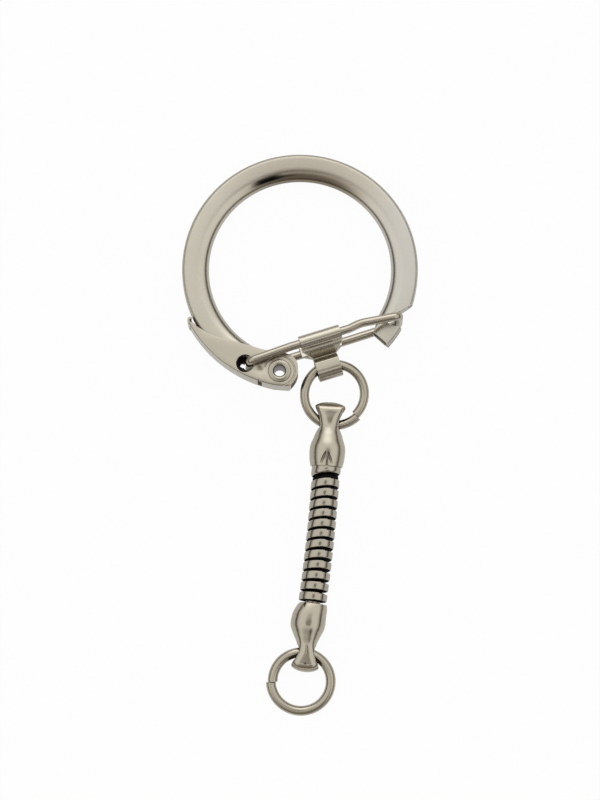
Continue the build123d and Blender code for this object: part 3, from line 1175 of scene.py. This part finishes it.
@dataclass
class Lever:
    """U channel folded round the ring's outside, with a thumb lip at its tip."""

    layout: Layout
    inside: float = 1.2
    outside: float = 1.5
    back: float = 14.02
    groove_radius: float = 1.78
    groove_start: float = -80.0
    groove_turn: float = 245.0

    def outline(self) -> list[tuple[float, float]]:
        """Outline of the lever's plates."""
        inner_edge = smooth_run(
            ((-4.35, -9.82), (-6.4, -9.22), (-8.4, -8.62), (-10.5, -7.98), (-12.1, -7.05)), 8
        )
        return [
            *arc_through((-13.05, -6.6), (-9.16, -11.22), (-2.95, -14.12), 48),
            (-1.35, -14.24),
            *arc_through((-1.0, -13.95), (-0.42, -13.1), (-0.22, -12.5), 6),
            *arc_through((-0.24, -11.9), (-0.36, -11.3), (-1.15, -10.48), 8),
            *arc_through((-1.6, -10.3), (-2.9, -10.04), (-4.2, -9.86), 6),
            *inner_edge,
            (-12.7, -6.4),
        ]

    def shell(self) -> bpy.types.Object:
        """Solid lever with its fold rounded.

        Returns:
            The lever before it is hollowed.
        """
        bm = bmesh.new()
        low = [bm.verts.new((x, y, -self.outside)) for x, y in self.outline()]
        shifted_out(bm, bmesh.ops.extrude_face_region(bm, geom=[bm.faces.new(low)]), (0, 0, 2 * self.outside))
        tidy_normals(bm)
        rims = [e for e in bm.edges if abs(e.verts[0].co.z - e.verts[1].co.z) < 1e-6]
        fold = [e for e in rims if all(v.co.xy.length > self.back for v in e.verts)]
        rest = [e for e in rims if e not in fold]
        bevelled(bm, fold, 0.8, 10)
        rest = [e for e in rest if e.is_valid]
        bevelled(bm, rest, 0.2, 4)
        return as_object(bm, "lever_shell")

    def cutters(self) -> list[bpy.types.Object]:
        """Solids that hollow and pierce the lever."""
        end_room = [(-3.4, -9), (-3.4, -13.9), (-1.35, -13.9), (-0.55, -12.6), (-0.55, -9)]
        web = Matrix.Rotation(math.radians(-15), 2)
        corners = ((-0.25, -0.5), (0.25, -0.5), (0.25, 0.5), (-0.25, 0.5))
        notch = [tuple(web @ Vector(p) + Vector((-4.75, -13.85))) for p in corners]
        return [
            drum("cut_room", (0, 0), self.back, -self.inside, self.inside, 256),
            prism("cut_end_room", end_room, -self.inside, self.inside),
            drum("cut_lever_pin", RIVET_AT, LEVER_RIVET_HOLE, -2.0, 2.0),
            *hook_holes(0.0, 2.0),
            prism("cut_web_notch", notch, -0.9, 2.0),
            leaf("cut_dimple", (-4.68, -12.1, self.outside + 0.84), (0.9, 0.8, 0.9), 0.0),
            self.groove(),
        ]

    def groove(self) -> bpy.types.Object:
        """Pressed line round the rivet, as a solid to cut away."""
        bm = bmesh.new()
        upright = Matrix.Rotation(math.radians(90), 4, "X")
        stand = Matrix.Translation((self.groove_radius, 0, self.outside)) @ upright
        bmesh.ops.create_circle(bm, cap_ends=False, segments=12, radius=0.1, matrix=stand)
        turned(bm, self.groove_start)
        spun(bm, Vector((0, 0, 1)), Vector((0, 0, 0)), math.radians(self.groove_turn), 60, False)
        capped(bm)
        tidy_normals(bm)
        bmesh.ops.translate(bm, verts=bm.verts, vec=(*RIVET_AT, 0))
        return as_object(bm, "cut_groove")

    def lip(self) -> bpy.types.Object:
        """Curled thumb lip at the tip, carried on from the outer wall."""
        bm = bmesh.new()
        curl = [(-12.84, -6.98), (-13.0, -6.55), (-13.06, -6.2), (-12.92, -5.98), (-12.74, -6.02)]
        chain_of(bm, [(x, y, -1.1) for x, y in smooth_run(curl, 6)])
        shifted_out(bm, bmesh.ops.extrude_edge_only(bm, edges=bm.edges[:]), (0, 0, 2.3))
        made = walled(as_object(bm, "lever_lip"), 0.24, 0.0, False)
        softened(made, 0.06)
        return made

    def build(self) -> None:
        """Builds and places the lever."""
        seat = self.layout.ring()
        shell = self.shell()
        carve(shell, self.cutters())
        softened(shell, 0.035)
        walls = walls_near(shell, HOOK_HOLE, HOOK_HOLE_RADIUS + 0.04, self.outside - 0.03)
        placed(shell, seat, Finish.CLASP, "lever", ("lever",))
        # Painted shade on the walls of the hook hole.
        paint_shade_on(shell, walls, Finish.HOLE_WALL)
        placed(self.lip(), seat, Finish.CLASP, "lever", ())


# --------------------------------------------------------------------------- bail and clip


@dataclass
class Bail:
    """One wire: two long strands joined by a bar in the catch, hooked into the lever."""

    layout: Layout
    wire: float = 1.0
    level: float = 2.35
    bend: float = 0.62
    far_drop: tuple[float, float] = (0.1, -0.32)

    def build(self) -> None:
        """Builds and places the bail."""
        half = [
            (-5.9, -11.41, 1.19),
            (-5.9, -11.41, self.level),
            (-1.2, -9.72, self.level),
            (5.9, -7.5, self.level),
            (11.56, -6.02, self.level),
        ]
        far = [(x, y, -z) for x, y, z in reversed(half)]
        low_x, low_y = self.far_drop
        far[1:3] = [(x + low_x, y + low_y, z) for x, y, z in far[1:3]]
        near = half[:3] + [(5.78, -7.5375, self.level), (7.05, -6.9, self.level)] + half[4:]
        points = near + far
        radii = [self.bend, self.bend, 2.6, 4.0] + [self.bend] * (len(points) - 6)
        wire = bent_wire("bail_wire", points, radii, self.wire / 2)
        softened(wire, 0.03)
        placed(wire, self.layout.ring(), Finish.WIRE, "bail", ("bail",))


@dataclass
class Clip:
    """One folded strip, rolled to a tube on each strand and closed to a loop below them."""

    layout: Layout
    sheet: float = 0.3
    bore: float = 0.55
    level: float = 2.35
    length: float = 4.9
    tab: float = 2.85
    drop: float = 4.6
    loop: float = 1.05
    at: tuple[float, float] = (2.35, -8.61)

    def seat(self) -> Seat:
        """Seat with x along the bail, y back up to it and z out of the ring's plane."""
        ring = self.layout.ring()
        spot = ring.matrix() @ Vector((*self.at, 0.0))
        return Seat(spot, self.layout.axis("clip_slide"), ring.z)

    def fold(self) -> tuple[list[tuple[float, float]], list[float]]:
        """Half of the strip's section, from the roll's end to the loop.

        Returns:
            Its points as pairs of drop and level, and the bend radius at each.
        """
        roll = arc((0.0, self.level), self.bore + self.sheet / 2, -28, 268, 36)
        bends = [(0.95, 1.45), (1.72, 0.17), (2.02, 0.17), (2.5, self.loop)]
        bow = arc((self.drop - self.loop - self.sheet / 2, 0.0), self.loop, 90, 0, 12)
        radii = [0.0] * len(roll) + [0.22] * len(bends) + [0.0] * len(bow)
        return roll + bends + bow, radii

    def strip(self) -> bpy.types.Object:
        """Folded strip, as wide as the tubes all the way down."""
        half, radii = self.fold()
        other = [(d, -z) for d, z in reversed(half[:-1])]
        bm = bmesh.new()
        points = [(-self.length / 2, -d, z) for d, z in half + other]
        bent_line(bm, points, (radii + radii[-2::-1])[1:-1], 5)
        shifted_out(bm, bmesh.ops.extrude_edge_only(bm, edges=bm.edges[:]), (self.length, 0, 0))
        bmesh.ops.recalc_face_normals(bm, faces=bm.faces)
        return walled(as_object(bm, "clip_strip"), self.sheet, 0.0)

    def cutters(self) -> list[bpy.types.Object]:
        """Solids that narrow the strip below its tubes."""
        made = []
        for side in (-1, 1):
            outline = [
                (side * 3.0, -0.95),
                (side * (self.length / 2 - 0.1), -0.95),
                (side * self.tab / 2, -1.75),
                (side * self.tab / 2, -5.0),
                (side * 3.0, -5.0),
            ]
            made.append(prism(f"cut_waist_{side}", outline, -4.0, 4.0))
        return made

    def build(self) -> None:
        """Builds and places the clip."""
        strip = self.strip()
        carve(strip, self.cutters())
        softened(strip, 0.05)
        inner = self.bore + 0.03
        inside = [
            p.index for p in strip.data.polygons
            if min(math.hypot(p.center.y, p.center.z - side * self.level) for side in (-1, 1)) < inner
        ]
        placed(strip, self.seat(), Finish.CLASP, "clip", ("clip",))
        # Painted shade inside the clip's tubes.
        paint_shade_on(strip, inside, Finish.HOLE_WALL)


# --------------------------------------------------------------------------- jump rings


@dataclass
class JumpRing:
    """Round wire bent to a ring, its ends cut square and a little out of line."""

    name: str
    seat: Seat
    body: str
    node: str
    start: float
    skew: float
    spring: float
    gap: float
    wire: float = 1.15
    across: float = 7.0
    steps: int = 180

    def build(self) -> None:
        """Builds and places the ring."""
        turn = math.tau - self.gap / (self.across / 2)
        bm = bmesh.new()
        upright = Matrix.Rotation(math.radians(90), 4, "X")
        first = Matrix.Rotation(math.radians(self.start), 4, "Z")
        stand = first @ Matrix.Translation((self.across / 2 - self.spring / 2, 0, -self.skew / 2)) @ upright
        bmesh.ops.create_circle(bm, cap_ends=False, segments=32, radius=self.wire / 2, matrix=stand)
        apart = first @ Vector((self.spring, 0, self.skew))
        bmesh.ops.spin(
            bm,
            geom=bm.verts[:] + bm.edges[:],
            cent=(0, 0, 0),
            axis=(0, 0, 1),
            dvec=apart / self.steps,
            angle=turn,
            steps=self.steps,
            use_merge=False,
            use_duplicate=False,
        )
        capped(bm)
        tidy_normals(bm)
        ring = as_object(bm, self.name)
        softened(ring, 0.05, 3, 50.0)
        placed(ring, self.seat, Finish.WIRE, self.body, (self.node,))


# --------------------------------------------------------------------------- caps


@dataclass(frozen=True)
class Section:
    """Rounded rectangle across a cap."""

    level: float
    half_width: float
    half_depth: float
    corner: float
    aside: float = 0.0

    def values(self) -> tuple[float, float, float, float]:
        """Half width, half depth, corner radius and shift to the side."""
        return (self.half_width, self.half_depth, self.corner, self.aside)


def section_at(sections: Sequence[Section], level: float) -> Section:
    """Section between the given ones, by a smooth cubic.

    Args:
        sections: Sections in order of level.
        level: Level wanted.

    Returns:
        The section there.
    """
    last = len(sections) - 1
    k = next((i for i in range(last) if level <= sections[i + 1].level), last - 1)
    a, b = sections[k], sections[k + 1]
    before, after = sections[max(k - 1, 0)], sections[min(k + 2, last)]
    span = b.level - a.level
    t = (level - a.level) / span
    made = []
    for p, q, r, s in zip(before.values(), a.values(), b.values(), after.values()):
        into = (r - p) / max(b.level - before.level, 1e-6) * span
        out = (s - q) / max(after.level - a.level, 1e-6) * span
        value = (2 * t**3 - 3 * t**2 + 1) * q + (t**3 - 2 * t**2 + t) * into
        value += (3 * t**2 - 2 * t**3) * r + (t**3 - t**2) * out
        made.append(value)
    return Section(level, made[0], made[1], min(made[2], made[0] - 0.02, made[1] - 0.02), made[3])


def lofted(
    name: str, sections: Sequence[Section], steps: int, dome: Sequence[float] | None = None
) -> bpy.types.Object:
    """Solid through the sections, its rows closer together at the start.

    Args:
        name: The object's name.
        sections: Sections in order of level.
        steps: Number of steps along it.
        dome: Levels where a domed start reaches its full width and full depth.

    Returns:
        The solid as an object.
    """
    bm = bmesh.new()
    first, last = sections[0].level, sections[-1].level
    loops = []
    for index in range(steps + 1):
        level = first + (last - first) * (index / steps) ** 1.5
        s = section_at(sections, level)
        w, d, a, corner = s.half_width, s.half_depth, s.aside, s.corner
        if dome:
            level = max(level, 0.012)
            w *= math.sqrt(1 - max(1 - level / dome[0], 0.0) ** 2)
            d *= math.sqrt(1 - max(1 - level / dome[1], 0.0) ** 2)
            corner = min(corner + 0.5 * max(1 - level / dome[1], 0.0), w * 0.92, d * 0.92)
        corners = ((a - w, -d, level), (a + w, -d, level), (a + w, d, level), (a - w, d, level))
        verts = chain_of(bm, corners, closed=True)
        cornered(bm, verts, corner, 12)
        loops.append([e for e in bm.edges if not e.link_faces and abs(e.verts[0].co.z - level) < 1e-6])
        if index:
            bmesh.ops.bridge_loops(bm, edges=loops[-2] + loops[-1])
    capped(bm)
    tidy_normals(bm)
    return as_object(bm, name)


def leaf(name: str, at: Sequence[float], size: Sequence[float], heading: float) -> bpy.types.Object:
    """Long rounded cutter for a pressed dent, lying on the cap's face.

    Args:
        name: The object's name.
        at: Its centre.
        size: Half width, half height and half length.
        heading: Angle from the cap's axis, in degrees.

    Returns:
        The cutter as an object.
    """
    bm = bmesh.new()
    bmesh.ops.create_uvsphere(bm, u_segments=24, v_segments=16, radius=1.0)
    bmesh.ops.scale(bm, verts=bm.verts, vec=size)
    turned(bm, heading, "Y")
    bmesh.ops.translate(bm, verts=bm.verts, vec=at)
    return as_object(bm, name)


@dataclass
class Cap:
    """Waisted strap folded over a jump ring and crimped round the chain's end.

    Its own z runs along the chain, from the fold to the mouth, and y is up.
    """

    name: str
    seat: Seat
    body: str
    node: str
    sections: tuple[Section, ...]
    eye: tuple[float, float]
    mouth: float
    mouth_depth: float
    dents: tuple[tuple[tuple[float, float, float], tuple[float, float, float], float], ...]
    seam: tuple[tuple[float, float], ...]
    back_radius: float = 1.32
    half_eye: float = 0.9
    crown_radius: float = 3.1
    dome: tuple[float, float] | None = None

    @property
    def length(self) -> float:
        """Length from the fold to the mouth."""
        return self.sections[-1].level

    def cutters(self) -> list[bpy.types.Object]:
        """Solids that shape the fold, the eye, the mouth, the seam and the dents."""
        dome = arc((0, self.crown_radius), self.crown_radius, 185, 355, 48)
        crown = [(-3.6, -1.0), (-3.6, dome[0][1]), *dome, (3.6, dome[0][1]), (3.6, -1.0)]
        bend = arc((0, self.back_radius), self.back_radius, 0, -180, 32)
        back = [(3.0, -1.0), (3.0, self.back_radius), *bend, (-3.0, self.back_radius), (-3.0, -1.0)]
        low, high = self.eye[0] + self.half_eye, self.eye[1] - self.half_eye
        eye = arc((0, high), self.half_eye, 0, 180, 16) + arc((0, low), self.half_eye, 180, 360, 16)
        made = []
        if not self.dome:
            made += [prism("cut_crown", crown, -3.0, 3.0, "y"), prism("cut_back", back, -4.0, 4.0, "x")]
        made += [
            prism("cut_eye", eye, -4.0, 4.0, "x"),
            drum("cut_mouth", (0, 0), self.mouth, self.length - self.mouth_depth, self.length + 1.0, 72),
        ]
        if self.seam:
            made.append(prism("cut_seam", self.seam, -3.0, 3.0, "y"))
        for index, (at, size, heading) in enumerate(self.dents):
            made.append(leaf(f"cut_dent_{index}", at, size, heading))
        return made

    def build(self) -> None:
        """Builds and places the cap."""
        cap = lofted(self.name, self.sections, 72, self.dome)
        carve(cap, self.cutters())
        softened(cap, 0.06, 3, 38.0)
        placed(cap, self.seat, Finish.CAP, self.body, (self.node,))


# --------------------------------------------------------------------------- chain


@dataclass
class SnakeChain:
    """Short tubular links, each with its flange held behind the lip of the one above."""

    layout: Layout
    first_extra: float = 0.55
    band: float = 1.65
    neck: float = 0.9
    bore: float = 0.55
    flange: float = 1.15
    lip: float = 1.2
    cavity: float = 1.3
    lean_up: float = 0.19
    lean_side: float = 0.13
    # Radius inside which faces take the painted shade.
    shade_within: float = 1.53
    last_leans: tuple[float, ...] = (0.88, 0.75, 0.6, 0.44, 0.28)
    step_from: float = 0.66
    step: float = 0.19

    def sphere(self, radius: float, depth: float) -> float:
        """Radius of a sphere's circle at a depth below its centre."""
        return math.sqrt(radius**2 - depth**2)

    def link_profile(self, extra: float) -> list[tuple[float, float]]:
        """Section of a link, its neck longer by extra."""
        top, foot = extra + 0.78, extra + 1.7
        sleeve = [(self.neck, 0.76)]
        if extra:
            sleeve = [(self.neck, 0.86), (1.4, 0.89), (1.5, 0.97), (1.5, extra + 0.7)]
        face = [(self.band - 0.02, top + 0.04), (self.band, top + 0.12), (self.band, foot - 0.1)]
        face += [(self.band - 0.02, foot - 0.04)]
        band = [(self.band - 0.08, top), *face, (self.band - 0.08, foot)]
        return [
            (self.bore, 0.12),
            (self.sphere(self.flange, 0.12), 0.12),
            (self.sphere(self.flange, 0.42), 0.42),
            (self.neck, 0.42),
            *sleeve,
            (1.36, extra + 0.78),
            (1.38, top),
            *band,
            (self.sphere(self.lip, 0.56) + 0.1, foot),
            (self.sphere(self.lip, 0.56), extra + 1.76),
            (self.sphere(self.lip, 0.2), extra + 1.4),
            (self.cavity, extra + 1.4),
            (self.cavity, extra + 0.98),
            (self.bore, extra + 0.98),
        ]

    def leant(self, target: bpy.types.Object, low: float, high: float, share: float = 1.0) -> None:
        """Leans a link's band, so that its rims run aslant across the chain.

        Args:
            target: The piece.
            low: Level above which it is left alone.
            high: Level below which it is left alone.
            share: How much of the usual lean it takes.
        """
        shear = Matrix.Identity(4)
        shear[2][0] = -self.lean_side * share
        shear[2][1] = -self.lean_up * share
        foot = high - 0.5
        with edited(target) as bm:
            band = [v for v in bm.verts if low < v.co.z < high]
            rim = [v for v in band if v.co.xy.length > self.flange + (-0.05 if v.co.z > foot else 0.2)]
            bmesh.ops.transform(bm, matrix=shear, verts=rim)

    def link(self, index: int, pivot: Vector, onward: Vector, share: float) -> None:
        """Builds and places one link.

        Args:
            index: Number of the link, from 1.
            pivot: Its own pivot.
            onward: The next link's pivot.
            share: How much of the usual lean it takes.
        """
        extra = self.first_extra if index == 1 else 0.0
        node = f"chain_link_{index:02d}"
        made = turned_solid(f"link_band_{index:02d}", self.link_profile(extra), 120)
        self.stepped(made, extra + 0.6, extra + 0.85)
        self.leant(made, 0.6, extra + 2.0, share)
        softened(made, 0.02, 2, 35.0)
        down = onward - pivot
        seat = Seat(pivot, Vector((0, 0, 1)).cross(down), down)
        inside = walls_near(made, (0, 0), self.shade_within)
        placed(made, seat, Finish.CHAIN, node, (node,))
        # Painted shade on the link's inner faces.
        paint_shade_on(made, inside, Finish.CHAIN_INSIDE)

    def stepped(self, target: bpy.types.Object, low: float, high: float) -> None:
        """Sets back the part of a band's upper rim that lies to the right.

        Args:
            target: The piece.
            low: Level above which the rim is left alone.
            high: Level below which it is left alone.
        """
        with edited(target) as bm:
            rim = [v for v in bm.verts if v.co.xy.length > 1.37 and low < v.co.z < high]
            right = [v for v in rim if v.co.x > self.step_from and v.co.y > -0.3]
            bmesh.ops.translate(bm, verts=right, vec=(0, 0, self.step))

    def upper_end(self, seat: Seat) -> None:
        """Builds the collar held in the upper cap.

        Args:
            seat: Seat at the first link's pivot.
        """
        profile = [
            (0.0, -2.3),
            (1.7, -2.3),
            (1.7, -0.45),
            *arc_through((1.7, 0.0), (1.72, 0.3), (1.64, 0.62), 6),
            (1.56, 0.68),
            (self.sphere(self.lip, 0.56), 0.56),
            (self.sphere(self.lip, 0.2), 0.2),
            (self.cavity, 0.2),
            (self.cavity, -0.22),
            (0.0, -0.22),
        ]
        collar = turned_solid("chain_collar", profile, 96)
        self.leant(collar, -0.05, 1.0)
        softened(collar, 0.03)
        inside = walls_near(collar, (0, 0), self.shade_within)
        placed(collar, seat, Finish.CHAIN, "cap_upper", ("chain_end_upper",))
        # Painted shade on the collar's inner faces.
        paint_shade_on(collar, inside, Finish.CHAIN_INSIDE)

    def lower_end(self, seat: Seat) -> None:
        """Builds the plug held in the lower cap.

        Args:
            seat: Seat at the lower cap's pivot.
        """
        profile = [
            (0.0, 0.12),
            (self.sphere(self.flange, 0.12), 0.12),
            (self.sphere(self.flange, 0.42), 0.42),
            (self.neck, 0.42),
            (self.neck, 0.76),
            (1.2, 0.76),
            *arc((1.24, 0.86), 0.1, -90, 0, 4),
            (1.34, 3.0),
            (0.0, 3.0),
        ]
        plug = turned_solid("chain_plug", profile, 96)
        softened(plug, 0.03)
        placed(plug, seat, Finish.CHAIN, "cap_lower", ("chain_end_lower",))

    def build(self) -> None:
        """Builds the chain from the upper cap down."""
        pivots = self.layout.link_pivots()
        count = len(pivots) - 1
        leans = [1.0] * (count - len(self.last_leans)) + list(self.last_leans)
        for index, spots in enumerate(zip(pivots, pivots[1:], leans), start=1):
            self.link(index, *spots)
        upper_axis = self.layout.axis("cap_upper_swing")
        lower_axis = self.layout.axis("jump_lower_swing")
        self.upper_end(self.layout.chain_seat(pivots[0], upper_axis))
        self.lower_end(self.layout.chain_seat(pivots[-1], lower_axis))


# --------------------------------------------------------------------------- studio


@dataclass(frozen=True)
class SkyPatch:
    """Round soft patch of the sky, brighter or dimmer than the rest."""

    toward: tuple[float, float, float]
    outer: float
    inner: float
    strength: float
    colour: tuple[float, float, float]

    def share(self, s: Shader, direction: Value) -> Value:
        """How far a direction lies in the patch.

        Args:
            s: The sky's nodes.
            direction: Direction looked in.

        Returns:
            1 in its middle and 0 outside.
        """
        middle = Vector(self.toward).normalized()
        near = s.add("ShaderNodeVectorMath", {"operation": "DOT_PRODUCT", "give": "Value"}, direction, middle)
        return near.ramp(math.cos(math.radians(self.outer)), math.cos(math.radians(self.inner)))


@dataclass
class Studio:
    """Pale floor, soft sky and camera."""

    patches: tuple[SkyPatch, ...] = (
        SkyPatch((-0.05, -0.84, 0.54), 44.0, 14.0, 0.72, (0.17, 0.125, 0.08)),
        SkyPatch((0.05, -0.01, 1.0), 15.0, 5.0, 0.85, (0.07, 0.055, 0.04)),
        SkyPatch((0.246, -0.587, 0.771), 15.0, 7.0, 0.97, (0.012, 0.012, 0.012)),
        SkyPatch((0.0, 0.82, 0.52), 33.0, 12.0, 0.85, (2.3, 2.32, 2.36)),
    )
    tilt: float = 84.0
    lens: float = 200.0
    sensor: float = 36.0
    scale: float = 8.55
    frame_height: int = 800
    raise_view: float = 3.74

    def floor(self) -> None:
        """Adds the pale floor, which takes the object's shadow."""
        bm = bmesh.new()
        bmesh.ops.create_grid(bm, x_segments=1, y_segments=1, size=3.0)
        made = as_object(bm, "floor")
        material = bpy.data.materials.new("pale_floor")
        material.use_nodes = True
        s = Shader(material.node_tree)
        rays = ("Is Camera Ray", "Is Glossy Ray", "Is Transmission Ray")
        camera, glossy, through = (s.add("ShaderNodeLightPath", {"give": ray}) for ray in rays)
        seen = (camera * 0.96 + (glossy + through) * 0.58).clamped()
        card = s.add("ShaderNodeBsdfDiffuse", {}, (0.8, 0.8, 0.8, 1.0), 0.5)
        glow = s.add("ShaderNodeEmission", {}, (1.0, 1.0, 1.0, 1.0), 1.0)
        both = s.add("ShaderNodeMixShader", {}, seen, card, glow)
        s.add("ShaderNodeOutputMaterial", {}, both)
        made.data.materials.append(material)
        made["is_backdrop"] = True

    def sky(self) -> None:
        """Sets the soft sky, dark near the horizon, with brighter and dimmer patches."""
        world = bpy.data.worlds.new("studio_sky")
        bpy.context.scene.world = world
        world.use_nodes = True
        s = Shader(world.node_tree)
        around = s.add("ShaderNodeTexCoord", {"give": "Generated"})
        toward = s.add("ShaderNodeVectorMath", {"operation": "NORMALIZE"}, around)
        height = s.add("ShaderNodeSeparateXYZ", {"give": "Z"}, toward)
        tent = s.mix_colour(height.ramp(0.12, 0.56), (0.07, 0.055, 0.04, 1.0), (1.14, 1.14, 1.12, 1.0))
        for patch in self.patches:
            share = patch.share(s, toward) * patch.strength
            tent = s.mix_colour(share, tent, (*patch.colour, 1.0))
        camera = s.add("ShaderNodeLightPath", {"give": "Is Camera Ray"})
        final = s.mix_colour(camera, tent, (1.0, 1.0, 1.0, 1.0))
        light = s.add("ShaderNodeBackground", {}, final, 1.0)
        s.add("ShaderNodeOutputWorld", {}, light)

    def camera(self) -> None:
        """Sets the camera, looking down on the object from the chain's side."""
        low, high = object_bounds()
        middle = (low + high) / 2
        tilt = math.radians(self.tilt)
        toward = Vector((0, -math.cos(tilt), math.sin(tilt)))
        up = Vector((0, math.sin(tilt), math.cos(tilt)))
        aim = middle + up * self.raise_view * MM
        data = bpy.data.cameras.new("view")
        data.lens = self.lens
        data.sensor_width = self.sensor
        data.clip_end = 10.0
        distance = self.lens / self.sensor * self.frame_height / self.scale * MM
        made = bpy.data.objects.new("view", data)
        made.location = aim + toward * distance
        made.rotation_euler = (math.radians(90 - self.tilt), 0, 0)
        bpy.context.scene.collection.objects.link(made)
        bpy.context.scene.camera = made

    def build(self) -> None:
        """Builds the studio."""
        settings = bpy.context.scene.view_settings
        settings.view_transform = "Standard"
        self.floor()
        self.sky()
        self.camera()


# --------------------------------------------------------------------------- assembly


UPPER_SECTIONS = (
    Section(0.0, 1.78, 1.32, 0.8),
    Section(0.7, 1.76, 1.32, 0.9),
    Section(1.8, 1.46, 1.36, 1.16),
    Section(2.9, 1.28, 1.4, 1.2),
    Section(4.1, 1.66, 1.74, 1.58),
    Section(5.3, 2.06, 2.05, 1.94),
    Section(6.6, 2.06, 2.05, 1.96),
    Section(7.6, 1.88, 1.92, 1.82),
)
LOWER_SECTIONS = (
    Section(0.0, 1.98, 1.4, 1.2),
    Section(0.8, 1.86, 1.4, 1.2),
    Section(1.6, 1.62, 1.4, 1.25),
    Section(2.4, 1.28, 1.4, 1.15),
    Section(3.2, 1.14, 1.46, 1.1, 0.1),
    Section(4.2, 1.56, 1.72, 1.5, 0.2),
    Section(5.3, 2.0, 2.0, 1.94, 0.24),
    Section(6.7, 1.98, 1.98, 1.92, 0.18),
    Section(7.5, 1.82, 1.86, 1.76, 0.02),
    Section(8.0, 1.62, 1.74, 1.55, -0.1),
)


@dataclass
class KeyRing:
    """The whole key ring."""

    layout: Layout
    hang: float = 3.5
    hang_angle: float = 19.2

    def jump_upper(self) -> JumpRing:
        """Jump ring hung in the clip."""
        ring = self.layout.ring()
        along = self.layout.axis("jump_upper_swing")
        down = along.cross(ring.z.normalized())
        drop = math.radians(self.hang_angle)
        hang = down * math.cos(drop) - ring.z.normalized() * math.sin(drop)
        centre = self.layout.pivot("jump_upper_swing") + hang * self.hang * MM
        seat = Seat(centre, along, along.cross(-hang))
        return JumpRing(
            "jump_ring_upper_wire", seat, "jump_upper", "jump_ring_upper",
            start=-62.0, skew=0.1, spring=0.26, gap=0.0, wire=1.08, across=7.12,
        )

    def jump_lower(self) -> JumpRing:
        """Jump ring at the free end."""
        seat = self.layout.charm_ring()
        return JumpRing(
            "jump_ring_lower_wire", seat, "jump_lower", "jump_ring_lower",
            start=-178.0, skew=0.12, spring=-0.22, gap=0.08, across=6.88,
        )

    def cap_upper(self) -> Cap:
        """Cap between the upper jump ring and the chain."""
        across = self.layout.axis("cap_upper_swing")
        seat = self.layout.chain_seat(self.layout.pivot("link_01_bend"), across).shifted(z=-7.99)
        dents = (
            ((-0.5, 2.02, 6.85), (0.17, 0.3, 1.0), -19.0),
            ((0.42, 2.04, 6.8), (0.15, 0.29, 0.95), 22.0),
        )
        seam = ((0.04, 6.5), (-0.17, 7.8), (0.2, 7.8))
        return Cap(
            "cap_upper_shell", seat, "cap_upper", "cap_upper", UPPER_SECTIONS,
            eye=(0.445, 3.595), mouth=1.72, mouth_depth=2.3, dents=dents, seam=seam,
        )

    def cap_lower(self) -> Cap:
        """Cap between the chain and the lower jump ring, turned end for end."""
        across = self.layout.axis("jump_lower_swing")
        mouth = self.layout.chain_seat(self.layout.pivot("cap_lower_bend"), across).shifted(z=0.83)
        fold = mouth.shifted(z=8.0)
        seat = Seat(fold.origin, -fold.x, -fold.z)
        dents = (
            ((0.12, 2.16, 5.35), (0.15, 0.25, 0.2), 0.0),
            ((0.0, 1.44, 0.95), (0.13, 0.22, 0.13), 0.0),
            ((0.04, 1.52, 2.55), (0.1, 0.18, 0.62), 0.0),
        )
        seam = ((1.0, 8.3), (0.66, 8.3), (0.8, 7.45), (0.88, 7.45))
        return Cap(
            "cap_lower_shell", seat, "cap_lower", "cap_lower", LOWER_SECTIONS,
            eye=(0.475, 3.425), mouth=1.4, mouth_depth=2.4, dents=dents, seam=seam,
            half_eye=1.15, dome=(1.15, 0.95),
        )

    def build(self) -> None:
        """Builds every sub-assembly in turn."""
        MainRing(self.layout).build()
        Rivet(self.layout).build()
        Lever(self.layout).build()
        Bail(self.layout).build()
        Clip(self.layout).build()
        self.jump_upper().build()
        self.cap_upper().build()
        SnakeChain(self.layout).build()
        self.cap_lower().build()
        self.jump_lower().build()


def main() -> None:
    """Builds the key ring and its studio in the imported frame."""
    logging.basicConfig(level=logging.INFO, format="%(name)s %(message)s")
    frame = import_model()
    layout = Layout(frame["record"])
    Studio().build()
    for finish in Finish:
        finish.value.build(layout.ring().matrix())
    KeyRing(layout).build()


if __name__ == "__main__":
    main()
